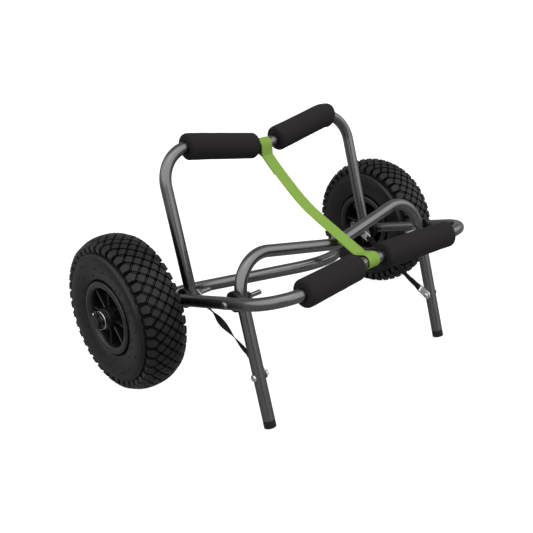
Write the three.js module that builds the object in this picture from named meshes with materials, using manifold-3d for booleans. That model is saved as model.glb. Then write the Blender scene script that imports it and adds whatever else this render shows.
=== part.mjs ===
import * as THREE from 'three';
import { mergeVertices } from 'three/addons/utils/BufferGeometryUtils.js';
import Module from 'manifold-3d';

const wasm = await Module();
wasm.setup();

// A two-wheeled cart for a kayak or canoe, in millimetres and degrees.
// Four bent tubes make it: the front cradle is welded to the axle tube, and
// the rear cradle and the folding stand turn on bolts through its side arms.
// The frame is drawn on a deck plane that holds the axle line: X across the
// cart, -Y forward, +Z square to the deck. The deck is then tilted as it stands.

// Fits shared by all pieces
const FIT_GAP = 0.3;
const RUN_GAP = 0.3;
const CUT_OVERRUN = 4;
const ROUND_SIDES = 12;

// Frame tube, the same stock in all four bent tubes
const TUBE_D = 20;
const TUBE_WALL = 1.5;
const TUBE_SIDES = 12;
const BORE_SIDES = 8;
const TUBE_BORE_SIDES = 6;
const BEND_STEP_DEG = 24;

// Stance
const DECK_TILT_DEG = 21.1;

// Wheels and tyres
const WHEEL_D = 260;
const TYRE_WIDTH = 82.5;
const TYRE_BELLY_R = 94;
const TYRE_ROUNDNESS_POWER = 2.41;
const TREAD_PITCHES = 42;
const BLOCK_HALF = 9.7;
const BLOCK_COLUMNS = 2;
const BLOCK_TOP_SHARE = 0.8;
const TREAD_DEPTH = 4.4;
const LUG_FOOT_ARC = 47;
const TYRE_WALL = 5;
const SHOULDER_STEP = 1.6;
const SHOULDER_STEP_W = 2.4;

// Rims: two deep dishes either side of a web, with ribs from hub to lip
const RIM_LIP_R = 62.6;
const RIM_LIP_W = 75;
const RIM_LIP_ROLL = 5.5;
const RIM_SEAT_R = 53.7;
const RIM_SEAT_W = 58;
const RIM_MOUTH_R = 50.3;
const DISH_FLOOR_R = 45.5;
const RIM_WEB = 6;
const RIM_SIDES = 24;
const RIM_RIBS = 8;
const RIM_RIB_T = 2.4;
const RIM_RIB_DEPTH = 28.5;
const RIM_RIB_PHASE_DEG = -2;
const HUB_D = 35;
const HUB_LENGTH = 80;
const BUSH_WALL = 2.6;
const BUSH_SIDES = 8;
const BUSH_LENGTH = 26;
const BUSH_SET_IN = 0.8;
const INNER_TUBE_WALL = 2.2;
const VALVE_D = 8;
const VALVE_BORE_D = 3;
const VALVE_LENGTH = 23;
const VALVE_CAP_D = 6;
const VALVE_CAP_LENGTH = 9;
const VALVE_OFFSET = 16;
const VALVE_AT_DEG = -114.5;

// Axle ends
const COLLAR_D = 31;
const COLLAR_LENGTH = 18.9;
const WASHER_D = 34;
const WASHER_T = 2.5;
const PIN_D = 4.5;
const PIN_STAND_OFF = 7.7;
const PIN_EDGE = 5.3;
const PIN_LEAN_DEG = 38;
const PIN_REACH = 11.6;
const PIN_HEAD_D = 5.6;
const PIN_HEAD_L = 6.5;
const BOW_WIRE_D = 2.2;
const BOW_R = 14.4;
const BOW_STUB = 4;
const CAP_D = 21.5;
const CAP_HEAD = 2.4;
const CAP_STEM = 2;

// Front cradle tube and axle tube, in the deck plane
const FRONT_REACH = 305;
const FRONT_VEE = 45;
const FRONT_BEND_R = 58;
const FRONT_VEE_R = 62;
const AXLE_KNEE_INSET = 45.6;
const AXLE_VEE = 182;
const AXLE_KNEE_R = 40;
const AXLE_VEE_R = 68;

// Rear cradle, square to the deck
const CRADLE_WIDTH = 431;
const REAR_PIVOT = 59;
const REAR_RISE = 248;
const REAR_VEE = 38;
const REAR_BEND_R = 56;
const REAR_TAIL = 14;

// Folding stand, square to the deck
const STAND_SET_BACK = 112;
const STAND_RISE = 70;
const STAND_VEE = 42;
const STAND_BEND_R = 57;
const LEG_BOLT_DROP = 125;
const FOOT_HEAD = 12;
const PLUG_HEAD = 2.5;
const PLUG_STEM = 14;

// Bolts, nuts and saddle washers
const PIVOT_BOLT_D = 8;
const PIVOT_BOLT_TAIL = 27.5;
const PIVOT_HEAD_D = 13;
const PIVOT_HEAD_H = 4.6;
const PIVOT_NUT_AF = 13;
const PIVOT_NUT_H = 6.5;
const LEG_BOLT_D = 6;
const LEG_HEAD_D = 12;
const LEG_HEAD_H = 3.6;
const LEG_NUT_AF = 10;
const LEG_NUT_H = 5;
const LEG_BOLT_TAIL = 4.2;
const SADDLE_D = 33;
const SADDLE_STEP = 3.5;
const SADDLE_WRAP = 4;

// Foam sleeves on the cradle bars
const PAD_D = 45;
const PAD_LENGTH = 144;
const PAD_ROUND = 5.5;
const REAR_PAD_GAP = 52.5;
const FRONT_PAD_GAP = 69;
// The sleeves slide on their bars, so each pair sits a little to one side
const REAR_PAD_SHIFT = 6.2;
const FRONT_PAD_SHIFT = -5.5;
const PAD_SIDES = 12;

// Webbing
const STRAP_W = 25;
const STRAP_T = 2.2;
const STRAP_SAG = 21;
const STRAP_LEAVE_DEG = 22;
const STRAP_ARRIVE_DEG = 12;
const LIMIT_W = 11;
const LIMIT_T = 1.2;
const LIMIT_TWIST_DEG = 180;
const LIMIT_STEPS = 6;
const TAB_T = 2;
const TAB_W = 15;
const TAB_LENGTH = 22;
const TAB_SLOT = 4;
const TAB_BAR = 2.2;

// Sizes that follow from the ones above
const rad = THREE.MathUtils.degToRad;
const tubeR = TUBE_D / 2;
const tubeBore = tubeR - TUBE_WALL;
const tilt = rad(DECK_TILT_DEG);
const wheelR = WHEEL_D / 2;
const legX = CRADLE_WIDTH / 2;
const armX = legX + TUBE_D + SADDLE_STEP;
const legOuter = legX + tubeR;
const legInner = legX - tubeR;
const armOuter = armX + tubeR;
const hubInner = armOuter + COLLAR_LENGTH + FIT_GAP * 2;
const wheelX = hubInner + HUB_LENGTH / 2;
const hubOuter = wheelX + HUB_LENGTH / 2;
const pinX = hubOuter + FIT_GAP + WASHER_T + PIN_STAND_OFF;
const axleEnd = pinX + PIN_EDGE;
const axleKneeHalf = armX - AXLE_KNEE_INSET;
const standPivot = FRONT_REACH - STAND_SET_BACK;
const standDrop = (wheelR + (standPivot - tubeR) * Math.sin(tilt)) / Math.cos(tilt);
const pivotBoltR = PIVOT_BOLT_D / 2;
const legBoltR = LEG_BOLT_D / 2;

// Materials
const paint = (name, color, roughness, metalness) =>
  new THREE.MeshStandardMaterial({ name, color, roughness, metalness });
const TUBE_GREY = paint('tube_grey', 0x5f5f62, 0.45, 0.6);
const FOAM_BLACK = paint('foam_black', 0x232122, 0.95, 0);
const WEBBING_GREEN = paint('webbing_green', 0x8caf50, 0.85, 0);
const WEBBING_BLACK = paint('webbing_black', 0x1e1b1c, 0.9, 0);
const TYRE_RUBBER = paint('tyre_rubber', 0x242122, 0.8, 0);
const TUBE_RUBBER = paint('tube_rubber', 0x1d1c1c, 0.75, 0);
const RIM_PLASTIC = paint('rim_plastic', 0x2e2d2d, 0.5, 0);
const BLACK_PLASTIC = paint('black_plastic', 0x201f1e, 0.55, 0);
const BRIGHT_STEEL = paint('bright_steel', 0xb4b0ad, 0.3, 0.9);

// Helpers

// Vertex radius of a polygon whose flats stand at a radius
function flatsAt(radius, sides) {
  return radius / Math.cos(Math.PI / sides);
}

// Vertex radius of a hole that clears a round or faceted piece
function clearing(radius, gap, sides) {
  return flatsAt(radius + gap, sides);
}

function solidOf(geometry) {
  const bare = geometry.clone();
  for (const name of Object.keys(bare.attributes)) {
    if (name !== 'position') bare.deleteAttribute(name);
  }
  const merged = mergeVertices(bare);
  return new wasm.Manifold(new wasm.Mesh({
    numProp: 3,
    vertProperties: Float32Array.from(merged.attributes.position.array),
    triVerts: Uint32Array.from(merged.index.array),
  }));
}

function geometryOf(solid) {
  const { vertProperties, triVerts } = solid.getMesh();
  const geometry = new THREE.BufferGeometry();
  geometry.setAttribute('position', new THREE.BufferAttribute(vertProperties, 3));
  geometry.setIndex(new THREE.BufferAttribute(triVerts, 1));
  geometry.computeVertexNormals();
  return geometry;
}

function cut(geometry, ...tools) {
  return geometryOf(tools.reduce((solid, tool) => solid.subtract(solidOf(tool)), solidOf(geometry)));
}

function join(geometry, ...others) {
  return geometryOf(others.reduce((solid, other) => solid.add(solidOf(other)), solidOf(geometry)));
}

// Body of revolution about the X axis from a closed outline of [x, radius]
function turned(outline, sides) {
  const points = outline.map(([x, r]) => new THREE.Vector2(r, x));
  if (THREE.ShapeUtils.area(points) < 0) points.reverse();
  points.push(points[0].clone());
  const geometry = new THREE.LatheGeometry(points, sides, -Math.PI / 2, 2 * Math.PI);
  return geometry.rotateZ(-Math.PI / 2);
}

// Ring with square edges between two planes across X
function ring(x0, x1, inner, outer, sides) {
  return turned([[x0, inner], [x1, inner], [x1, outer], [x0, outer]], sides);
}

// Prism along X; its first flat faces +Z, so flats face the four sides
function rodX(x0, x1, radius, sides) {
  const lo = Math.min(x0, x1);
  const hi = Math.max(x0, x1);
  const geometry = new THREE.CylinderGeometry(radius, radius, hi - lo, sides);
  return geometry.rotateY(Math.PI / sides).rotateZ(-Math.PI / 2).translate((lo + hi) / 2, 0, 0);
}

function rodY(y0, y1, radius, sides) {
  const geometry = new THREE.CylinderGeometry(radius, radius, y1 - y0, sides);
  return geometry.rotateY(Math.PI / sides).translate(0, (y0 + y1) / 2, 0);
}

function rodZ(z0, z1, radius, sides) {
  const geometry = new THREE.CylinderGeometry(radius, radius, z1 - z0, sides);
  return geometry.rotateY(Math.PI / sides).rotateX(Math.PI / 2).translate(0, 0, (z0 + z1) / 2);
}

// Circle outline with flats on its four sides
function flatCircle(PathType, radius, sides) {
  const path = new PathType();
  const points = Array.from({ length: sides }, (_, i) => {
    const angle = (2 * Math.PI * (i + 0.5)) / sides;
    return new THREE.Vector2(radius * Math.cos(angle), radius * Math.sin(angle));
  });
  return path.setFromPoints(points);
}

// Centreline of straight runs joined by arcs at the inner points
class BentLine {
  constructor(points, radii) {
    this.runs = [];
    this.length = 0;
    let from = points[0];
    radii.forEach((radius, i) => {
      const corner = points[i + 1];
      const d0 = corner.clone().sub(points[i]).normalize();
      const d1 = points[i + 2].clone().sub(corner).normalize();
      const turn = d0.angleTo(d1);
      const setBack = radius * Math.tan(turn / 2);
      const start = corner.clone().addScaledVector(d0, -setBack);
      const inward = d1.clone().addScaledVector(d0, -d1.dot(d0)).normalize();
      this.addStraight(from, start, d0);
      this.addArc(start, d0, inward, radius, turn);
      from = corner.clone().addScaledVector(d1, setBack);
    });
    const last = points[points.length - 1];
    this.addStraight(from, last, last.clone().sub(from).normalize());
  }

  addStraight(from, to, along) {
    const at = (d) => ({ point: from.clone().addScaledVector(along, d), along: along.clone() });
    this.runs.push({ start: this.length, length: from.distanceTo(to), steps: 1, at });
    this.length += from.distanceTo(to);
  }

  addArc(start, along, inward, radius, turn) {
    const at = (d) => {
      const a = d / radius;
      const point = start.clone().addScaledVector(along, radius * Math.sin(a))
        .addScaledVector(inward, radius * (1 - Math.cos(a)));
      const heading = along.clone().multiplyScalar(Math.cos(a)).addScaledVector(inward, Math.sin(a));
      return { point, along: heading };
    };
    const steps = Math.max(2, Math.ceil(turn / rad(BEND_STEP_DEG)));
    this.runs.push({ start: this.length, length: radius * turn, steps, at });
    this.length += radius * turn;
  }

  at(distance) {
    const run = this.runs.findLast((r) => r.start <= distance) ?? this.runs[0];
    return run.at(distance - run.start);
  }

  distances() {
    const list = this.runs.flatMap((run) =>
      Array.from({ length: run.steps }, (_, i) => run.start + (run.length * i) / run.steps));
    return [...list, this.length];
  }

  // Place on the chords that the tube's facets follow
  chordAt(distance) {
    const list = this.distances();
    const i = Math.min(list.findLastIndex((d) => d <= distance), list.length - 2);
    const near = this.at(list[i]);
    const far = this.at(list[i + 1]);
    const share = (distance - list[i]) / (list[i + 1] - list[i]);
    return {
      point: near.point.lerp(far.point, share),
      along: near.along.lerp(far.along, share).normalize(),
    };
  }
}

// Curve that hands an extrusion the stations of a bent line, in order
class StationCurve extends THREE.Curve {
  constructor(stations) {
    super();
    this.stations = stations;
  }

  station(u) {
    return this.stations[Math.round(u * (this.stations.length - 1))];
  }

  getPoint(u) {
    return this.station(u).point.clone();
  }

  getPointAt(u) {
    return this.getPoint(u);
  }

  getTangentAt(u) {
    return this.station(u).along.clone();
  }
}

function sweep(shape, stations) {
  const extrudePath = new StationCurve(stations);
  return new THREE.ExtrudeGeometry(shape, { steps: stations.length - 1, extrudePath, bevelEnabled: false });
}

// Round tube along a bent line
function bentTube(line) {
  const section = flatCircle(THREE.Shape, flatsAt(tubeR, TUBE_SIDES), TUBE_SIDES);
  section.holes.push(flatCircle(THREE.Path, flatsAt(tubeBore, TUBE_BORE_SIDES), TUBE_BORE_SIDES));
  return sweep(section, line.distances().map((d) => line.at(d)));
}

// Closed body through a list of rings with the same number of points. In a flat
// strip, paired faces share their diagonals, which keeps its thickness in a twist
function loft(rings, closed, paired = false) {
  const positions = [];
  const push = (...points) => points.forEach((p) => positions.push(p.x, p.y, p.z));
  const spans = closed ? rings.length : rings.length - 1;
  for (let i = 0; i < spans; i += 1) {
    const near = rings[i];
    const far = rings[(i + 1) % rings.length];
    near.forEach((p, k) => {
      const next = (k + 1) % near.length;
      if (paired && k >= near.length / 2) {
        push(p, near[next], far[k]);
        push(near[next], far[next], far[k]);
      } else {
        push(p, near[next], far[next]);
        push(p, far[next], far[k]);
      }
    });
  }
  if (!closed) {
    const first = rings[0];
    const last = rings[rings.length - 1];
    for (let k = 1; k < first.length - 1; k += 1) {
      push(first[0], first[k + 1], first[k]);
      push(last[0], last[k], last[k + 1]);
    }
  }
  const geometry = new THREE.BufferGeometry();
  geometry.setAttribute('position', new THREE.Float32BufferAttribute(positions, 3));
  geometry.computeVertexNormals();
  return geometry;
}

const cart = new THREE.Group();
const deck = new THREE.Group();
deck.position.set(0, 0, wheelR);
deck.rotation.x = -tilt;
cart.add(deck);

function place(parent, name, geometry, material, x = 0, y = 0, z = 0) {
  const mesh = new THREE.Mesh(geometry, material);
  mesh.name = name;
  mesh.position.set(x, y, z);
  parent.add(mesh);
  return mesh;
}

const SIDES = [['left', -1], ['right', 1]];
const v3 = (x, y, z) => new THREE.Vector3(x, y, z);

// Front cradle tube: side arms from the axle forward, and a shallow vee bar
// Its ends are coped over the axle tube, where the weld would be
const pivotHole = (y, x) => rodX(x - TUBE_D, x + TUBE_D, clearing(pivotBoltR, FIT_GAP, BORE_SIDES), BORE_SIDES)
  .translate(0, y, 0);
const frontLine = new BentLine(
  [v3(-armX, 0, 0), v3(-armX, -FRONT_REACH, 0), v3(0, -FRONT_REACH + FRONT_VEE, 0),
    v3(armX, -FRONT_REACH, 0), v3(armX, 0, 0)],
  [FRONT_BEND_R, FRONT_VEE_R, FRONT_BEND_R],
);
const cope = rodX(-armOuter - CUT_OVERRUN, armOuter + CUT_OVERRUN,
  clearing(tubeR, FIT_GAP, TUBE_SIDES), TUBE_SIDES);
place(deck, 'front_cradle_tube', cut(
  bentTube(frontLine),
  cope,
  ...SIDES.flatMap(([, s]) => [pivotHole(-REAR_PIVOT, s * armX), pivotHole(-standPivot, s * armX)]),
), TUBE_GREY);

// Axle tube: straight ends carry the wheels, the middle runs forward in a vee
const axleLine = new BentLine(
  [v3(-axleEnd, 0, 0), v3(-axleKneeHalf, 0, 0), v3(0, -AXLE_VEE, 0),
    v3(axleKneeHalf, 0, 0), v3(axleEnd, 0, 0)],
  [AXLE_KNEE_R, AXLE_VEE_R, AXLE_KNEE_R],
);
const pinHole = (s) => rodZ(-TUBE_D, TUBE_D, clearing(PIN_D / 2, FIT_GAP, BORE_SIDES), BORE_SIDES)
  .rotateX(tilt - rad(PIN_LEAN_DEG)).translate(s * pinX, 0, 0);
place(deck, 'axle_tube', cut(bentTube(axleLine), pinHole(-1), pinHole(1)), TUBE_GREY);

// Rear cradle: a hoop standing on the side arms, its bar dipped in the middle
const rearGroup = new THREE.Group();
rearGroup.position.set(0, -REAR_PIVOT, 0);
deck.add(rearGroup);
const rearLine = new BentLine(
  [v3(-legX, 0, -REAR_TAIL), v3(-legX, 0, REAR_RISE), v3(0, 0, REAR_RISE - REAR_VEE),
    v3(legX, 0, REAR_RISE), v3(legX, 0, -REAR_TAIL)],
  [REAR_BEND_R, REAR_BEND_R, REAR_BEND_R],
);
place(rearGroup, 'rear_cradle_tube', cut(
  bentTube(rearLine), pivotHole(0, -legX), pivotHole(0, legX),
), TUBE_GREY);

// Folding stand: two legs below the side arms and a dipped bar above them
const standGroup = new THREE.Group();
standGroup.position.set(0, -standPivot, 0);
deck.add(standGroup);
const legEnd = -standDrop + FOOT_HEAD + FIT_GAP;
const standLine = new BentLine(
  [v3(-legX, 0, legEnd), v3(-legX, 0, STAND_RISE), v3(0, 0, STAND_RISE - STAND_VEE),
    v3(legX, 0, STAND_RISE), v3(legX, 0, legEnd)],
  [STAND_BEND_R, STAND_BEND_R, STAND_BEND_R],
);
const legHole = (x) => rodX(x - TUBE_D, x + TUBE_D, clearing(legBoltR, FIT_GAP, BORE_SIDES), BORE_SIDES)
  .translate(0, 0, -LEG_BOLT_DROP);
place(standGroup, 'stand_tube', cut(
  bentTube(standLine), pivotHole(0, -legX), pivotHole(0, legX), legHole(-legX), legHole(legX),
), TUBE_GREY);

// Foam sleeve over a cradle bar, following the bar into its bend
function foamSleeve(line, start, side, flat) {
  const middle = line.length / 2;
  const rise = [0, 0.5, 1].map((share) => (share * Math.PI) / 2);
  const inward = rise.map((a) => [start + PAD_ROUND * (1 - Math.cos(a)), PAD_D / 2 - PAD_ROUND * (1 - Math.sin(a))]);
  const outward = inward.map(([d, r]) => [2 * start + PAD_LENGTH - d, r]).reverse();
  const within = (margin) => line.distances().map((d) => d - middle)
    .filter((d) => d > start + margin && d < start + PAD_LENGTH - margin);
  const bends = within(PAD_ROUND).map((d) => [d, PAD_D / 2]);
  const stations = [...inward, ...bends, ...outward];
  const bore = clearing(flatsAt(tubeR, TUBE_SIDES), FIT_GAP, PAD_SIDES);
  const ringAt = ([d, radius]) => {
    const { point, along } = line.chordAt(middle + side * d);
    const across = flat.clone().cross(along);
    return Array.from({ length: PAD_SIDES }, (_, i) => {
      const a = (2 * Math.PI * i) / PAD_SIDES;
      return point.clone().addScaledVector(flat, radius * Math.cos(a))
        .addScaledVector(across, radius * Math.sin(a));
    });
  };
  const skin = stations.map(ringAt);
  const lining = [start, ...within(0), start + PAD_LENGTH].map((d) => ringAt([d, bore])).reverse();
  const rings = [...skin, ...lining];
  if (side > 0) rings.reverse();
  return loft(rings, true);
}

const across = v3(0, 0, 1);
const back = v3(0, 1, 0);
SIDES.forEach(([side, s]) => {
  const frontStart = FRONT_PAD_GAP / 2 + s * FRONT_PAD_SHIFT;
  const rearStart = REAR_PAD_GAP / 2 + s * REAR_PAD_SHIFT;
  place(deck, `front_pad_${side}`, foamSleeve(frontLine, frontStart, s, across), FOAM_BLACK);
  place(rearGroup, `rear_pad_${side}`, foamSleeve(rearLine, rearStart, s, back), FOAM_BLACK);
});

// Webbing strap sewn in a loop round the middle of each cradle bar
function cradleStrap() {
  const sagOf = (bendR) => (STRAP_W / 2) ** 2 / (2 * bendR);
  const top = v3(0, -REAR_PIVOT, REAR_RISE - REAR_VEE);
  const low = v3(0, -FRONT_REACH + FRONT_VEE, 0);
  const vertexDrop = (turn, bendR) => bendR * (1 / Math.cos(turn / 2) - 1);
  const rearTurn = 2 * Math.atan(REAR_VEE / legX);
  const frontTurn = 2 * Math.atan(FRONT_VEE / armX);
  top.z += vertexDrop(rearTurn, REAR_BEND_R) + sagOf(REAR_BEND_R) / 2;
  low.y -= vertexDrop(frontTurn, FRONT_VEE_R) + sagOf(FRONT_VEE_R) / 2;
  const eye = (bendR) => flatsAt(tubeR, TUBE_SIDES) + sagOf(bendR) / 2 + FIT_GAP;
  const span = top.distanceTo(low);
  const half = STRAP_T / 2;
  const loops = [[0, eye(REAR_BEND_R)], [span, eye(FRONT_VEE_R)]];
  const arc = (centre, radius, from, to) => Array.from({ length: ROUND_SIDES + 1 }, (_, i) => {
    const a = from + ((to - from) * i) / ROUND_SIDES;
    return new THREE.Vector2(centre + radius * Math.cos(a), radius * Math.sin(a));
  });
  const [r0, r1] = loops.map(([, r]) => clearing(r, 0, ROUND_SIDES) + STRAP_T);
  const d0 = Math.asin(half / r0);
  const d1 = Math.asin(half / r1);
  const leave = -rad(STRAP_LEAVE_DEG);
  const arrive = Math.PI + rad(STRAP_ARRIVE_DEG);
  const sagShares = [[0.12, 0.44], [0.22, 0.72], [0.34, 0.94], [0.46, 1], [0.6, 0.83], [0.75, 0.54], [0.88, 0.3]];
  const band = (sign) => sagShares.map(([spanShare, sagShare]) => new THREE.Vector2(
    span * spanShare, sign * half - STRAP_SAG * sagShare));
  const outline = [
    ...arc(0, r0, leave + d0, leave + 2 * Math.PI - d0),
    ...band(-1),
    ...arc(span, r1, arrive + d1, arrive + 2 * Math.PI - d1),
    ...band(1).reverse(),
  ];
  const shape = new THREE.Shape().setFromPoints(outline);
  loops.forEach(([centre, radius]) => {
    const hole = arc(centre, clearing(radius, 0, ROUND_SIDES), 2 * Math.PI, 0).slice(1);
    shape.holes.push(new THREE.Path().setFromPoints(hole));
  });
  const geometry = new THREE.ExtrudeGeometry(shape, { depth: STRAP_W, bevelEnabled: false });
  const along = low.clone().sub(top).normalize();
  const normal = v3(1, 0, 0).cross(along).negate();
  const side = along.clone().cross(normal);
  const turn = new THREE.Matrix4().makeBasis(along, normal, side);
  turn.setPosition(top.addScaledVector(side, -STRAP_W / 2));
  return geometry.applyMatrix4(turn);
}
place(deck, 'cradle_strap', cradleStrap(), WEBBING_GREEN);

// Pivot bolts, nuts and saddle washers; the saddle is hollowed to the arm
const saddleFlat = legOuter + FIT_GAP;
function saddleWasher(s) {
  const disc = rodX(s * saddleFlat, s * (armX - tubeR + SADDLE_WRAP), SADDLE_D / 2, ROUND_SIDES);
  const groove = rodY(-SADDLE_D, SADDLE_D, clearing(tubeR, FIT_GAP, TUBE_SIDES), TUBE_SIDES)
    .translate(s * armX, 0, 0);
  const bore = rodX(s * (saddleFlat - CUT_OVERRUN), s * armX, clearing(pivotBoltR, FIT_GAP, BORE_SIDES), BORE_SIDES);
  return cut(disc, groove, bore);
}

// Bolt with a low domed head, its shank running inboard from the head
function domedBolt(s, seat, tail, shankR, headR, headH) {
  const face = seat + FIT_GAP;
  return turned([
    [s * tail, 0],
    [s * tail, shankR],
    [s * face, shankR],
    [s * face, headR],
    [s * (face + headH * 0.45), headR],
    [s * (face + headH), headR * 0.5],
    [s * (face + headH), 0],
  ], BORE_SIDES);
}

function hexNut(s, seat, height, acrossFlats, boltR) {
  const outer = flatsAt(acrossFlats / 2, 6);
  const inner = s * (seat - height);
  const nut = rodX(inner, s * seat, outer, 6);
  const hole = rodX(s * (seat - height - CUT_OVERRUN), s * (seat + CUT_OVERRUN),
    clearing(boltR, FIT_GAP, BORE_SIDES), BORE_SIDES);
  return cut(nut, hole);
}

const tabOuter = legInner - FIT_GAP;
const tabInner = tabOuter - TAB_T;
const pivotTail = legInner - PIVOT_BOLT_TAIL;
// The stand's legs start to bend in just above the bolt, so its nut stands off
const standNutSeat = legInner - PIVOT_NUT_AF ** 2 / (3 * STAND_BEND_R);
SIDES.forEach(([side, s]) => {
  [['rear', -REAR_PIVOT, tabInner], ['stand', -standPivot, standNutSeat]].forEach(([end, y, seat]) => {
    place(deck, `${end}_saddle_${side}`, saddleWasher(s), BLACK_PLASTIC, 0, y, 0);
    place(deck, `${end}_pivot_bolt_${side}`,
      domedBolt(s, armOuter, pivotTail, pivotBoltR, PIVOT_HEAD_D / 2, PIVOT_HEAD_H), BRIGHT_STEEL, 0, y, 0);
    place(deck, `${end}_pivot_nut_${side}`,
      hexNut(s, seat - FIT_GAP, PIVOT_NUT_H, PIVOT_NUT_AF, pivotBoltR), BRIGHT_STEEL, 0, y, 0);
  });
  place(standGroup, `leg_bolt_${side}`,
    domedBolt(s, legOuter, tabInner - FIT_GAP - LEG_BOLT_TAIL, legBoltR, LEG_HEAD_D / 2, LEG_HEAD_H),
    BRIGHT_STEEL, 0, 0, -LEG_BOLT_DROP);
  place(standGroup, `leg_nut_${side}`,
    domedNut(s, tabInner - FIT_GAP, LEG_NUT_H, LEG_NUT_AF, legBoltR), BRIGHT_STEEL, 0, 0, -LEG_BOLT_DROP);
});

// Acorn nut: a blind hole for the bolt end under a rounded crown
function domedNut(s, seat, height, acrossFlats, boltR) {
  const outer = acrossFlats / 2;
  const bore = clearing(boltR, FIT_GAP, BORE_SIDES);
  const crown = seat - LEG_BOLT_TAIL - FIT_GAP;
  return turned([
    [s * seat, bore],
    [s * crown, bore],
    [s * crown, 0],
    [s * (crown - height * 0.3), 0],
    [s * (crown - height * 0.2), outer * 0.6],
    [s * (seat - height * 0.6), outer],
    [s * seat, outer],
  ], BORE_SIDES);
}

// Limit straps: slotted tabs on the bolts, and a strip with a half twist
// between them, looped through both slots
const limitFrom = v3(0, -REAR_PIVOT, 0);
const limitTo = v3(0, -standPivot, -LEG_BOLT_DROP);
const limitAlong = limitTo.clone().sub(limitFrom).normalize();
const limitAngle = Math.atan2(limitAlong.z, limitAlong.y);
const slotEnd = TAB_LENGTH - TAB_BAR;
const loopEnd = TAB_LENGTH + TAB_W / 2;
const sewnEnd = loopEnd + LIMIT_T;

function strapTab(s, boltR) {
  const x0 = s * tabInner;
  const x1 = s * tabOuter;
  const middle = (x0 + x1) / 2;
  const eye = rodX(x0, x1, flatsAt(TAB_W / 2, BORE_SIDES), BORE_SIDES);
  const arm = new THREE.BoxGeometry(TAB_T, TAB_LENGTH, TAB_W).translate(middle, TAB_LENGTH / 2, 0);
  const hole = rodX(x0 - s * CUT_OVERRUN, x1 + s * CUT_OVERRUN, clearing(boltR, FIT_GAP, BORE_SIDES), BORE_SIDES);
  const slot = new THREE.BoxGeometry(TAB_T + CUT_OVERRUN * 2, TAB_SLOT, LIMIT_W + FIT_GAP * 2)
    .translate(middle, slotEnd - TAB_SLOT / 2, 0);
  return cut(join(eye, arm), hole, slot);
}

// Loop of webbing round the bar at the end of a tab that points along +Y
function tabLoop(middle) {
  const near = slotEnd - FIT_GAP;
  const room = ((TAB_T / 2 + FIT_GAP) * (loopEnd - near)) / (loopEnd - TAB_LENGTH - FIT_GAP);
  const corner = ([along, deep]) => new THREE.Vector2(along, deep);
  const shape = new THREE.Shape().setFromPoints([
    [near - LIMIT_T, -room], [near, -room - LIMIT_T], [sewnEnd, -LIMIT_T],
    [sewnEnd, LIMIT_T], [near, room + LIMIT_T], [near - LIMIT_T, room],
  ].map(corner));
  shape.holes.push(new THREE.Path().setFromPoints([[near, -room], [near, room], [loopEnd, 0]].map(corner)));
  return new THREE.ExtrudeGeometry(shape, { depth: LIMIT_W, bevelEnabled: false })
    .rotateZ(Math.PI / 2).translate(middle, 0, -LIMIT_W / 2);
}

function limitStrip(s) {
  const length = limitFrom.distanceTo(limitTo);
  const start = (loopEnd + sewnEnd) / 2;
  const middle = s * (tabInner + tabOuter) / 2;
  const rings = Array.from({ length: LIMIT_STEPS + 1 }, (_, i) => {
    const share = i / LIMIT_STEPS;
    const a = s * rad(LIMIT_TWIST_DEG) * THREE.MathUtils.smoothstep(share, 0, 1);
    const layers = share % 1 === 0 ? 2 : 1;
    const wide = v3(Math.sin(a), 0, Math.cos(a)).multiplyScalar(LIMIT_W / 2);
    const thick = v3(Math.cos(a), 0, -Math.sin(a)).multiplyScalar((LIMIT_T * layers) / 2);
    const centre = v3(middle, THREE.MathUtils.lerp(start, length - start, share), 0);
    return [[1, 1], [-1, 1], [-1, -1], [1, -1]].map(([w, t]) =>
      centre.clone().addScaledVector(wide, w).addScaledVector(thick, t));
  });
  const far = tabLoop(-middle).rotateZ(Math.PI).translate(0, length, 0);
  return join(loft(rings, false, true), tabLoop(middle), far);
}

SIDES.forEach(([side, s]) => {
  const upper = place(deck, `limit_tab_upper_${side}`, strapTab(s, pivotBoltR), BRIGHT_STEEL);
  upper.position.copy(limitFrom);
  upper.rotation.x = limitAngle;
  const strip = place(deck, `limit_strap_${side}`, limitStrip(s), WEBBING_BLACK);
  strip.position.copy(limitFrom);
  strip.rotation.x = limitAngle;
  const lower = place(standGroup, `limit_tab_lower_${side}`, strapTab(s, legBoltR), BRIGHT_STEEL,
    0, 0, -LEG_BOLT_DROP);
  lower.rotation.x = limitAngle + Math.PI;
});

// Plugs in the open tube ends: a head as wide as the tube, a stem inside it
function tubePlug(head, top, reach) {
  const stem = rodZ(top - head / 2, top + reach, tubeBore - FIT_GAP, BORE_SIDES);
  return join(rodZ(top - head, top, flatsAt(tubeR, TUBE_SIDES), TUBE_SIDES), stem);
}
SIDES.forEach(([side, s]) => {
  place(standGroup, `foot_cap_${side}`, 
    tubePlug(FOOT_HEAD, -standDrop + FOOT_HEAD, PLUG_STEM), BLACK_PLASTIC, s * legX, 0, 0);
  place(rearGroup, `rear_leg_plug_${side}`,
    tubePlug(PLUG_HEAD, -REAR_TAIL - FIT_GAP, (REAR_TAIL - pivotBoltR) * 0.6), BLACK_PLASTIC, s * legX, 0, 0);
});

// Tyre outline across the tread: a rounded-square arc from crown to belly
const crownToBelly = (() => {
  const steps = 400;
  const halfW = TYRE_WIDTH / 2;
  const height = wheelR - TYRE_BELLY_R;
  const power = 2 / TYRE_ROUNDNESS_POWER;
  const points = Array.from({ length: steps + 1 }, (_, i) => {
    const t = (i / steps) * (Math.PI / 2);
    return new THREE.Vector2(halfW * Math.sin(t) ** power, TYRE_BELLY_R + height * Math.cos(t) ** power);
  });
  return new THREE.Path().setFromPoints(points);
})();
const crownArc = crownToBelly.getLength();

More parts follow.
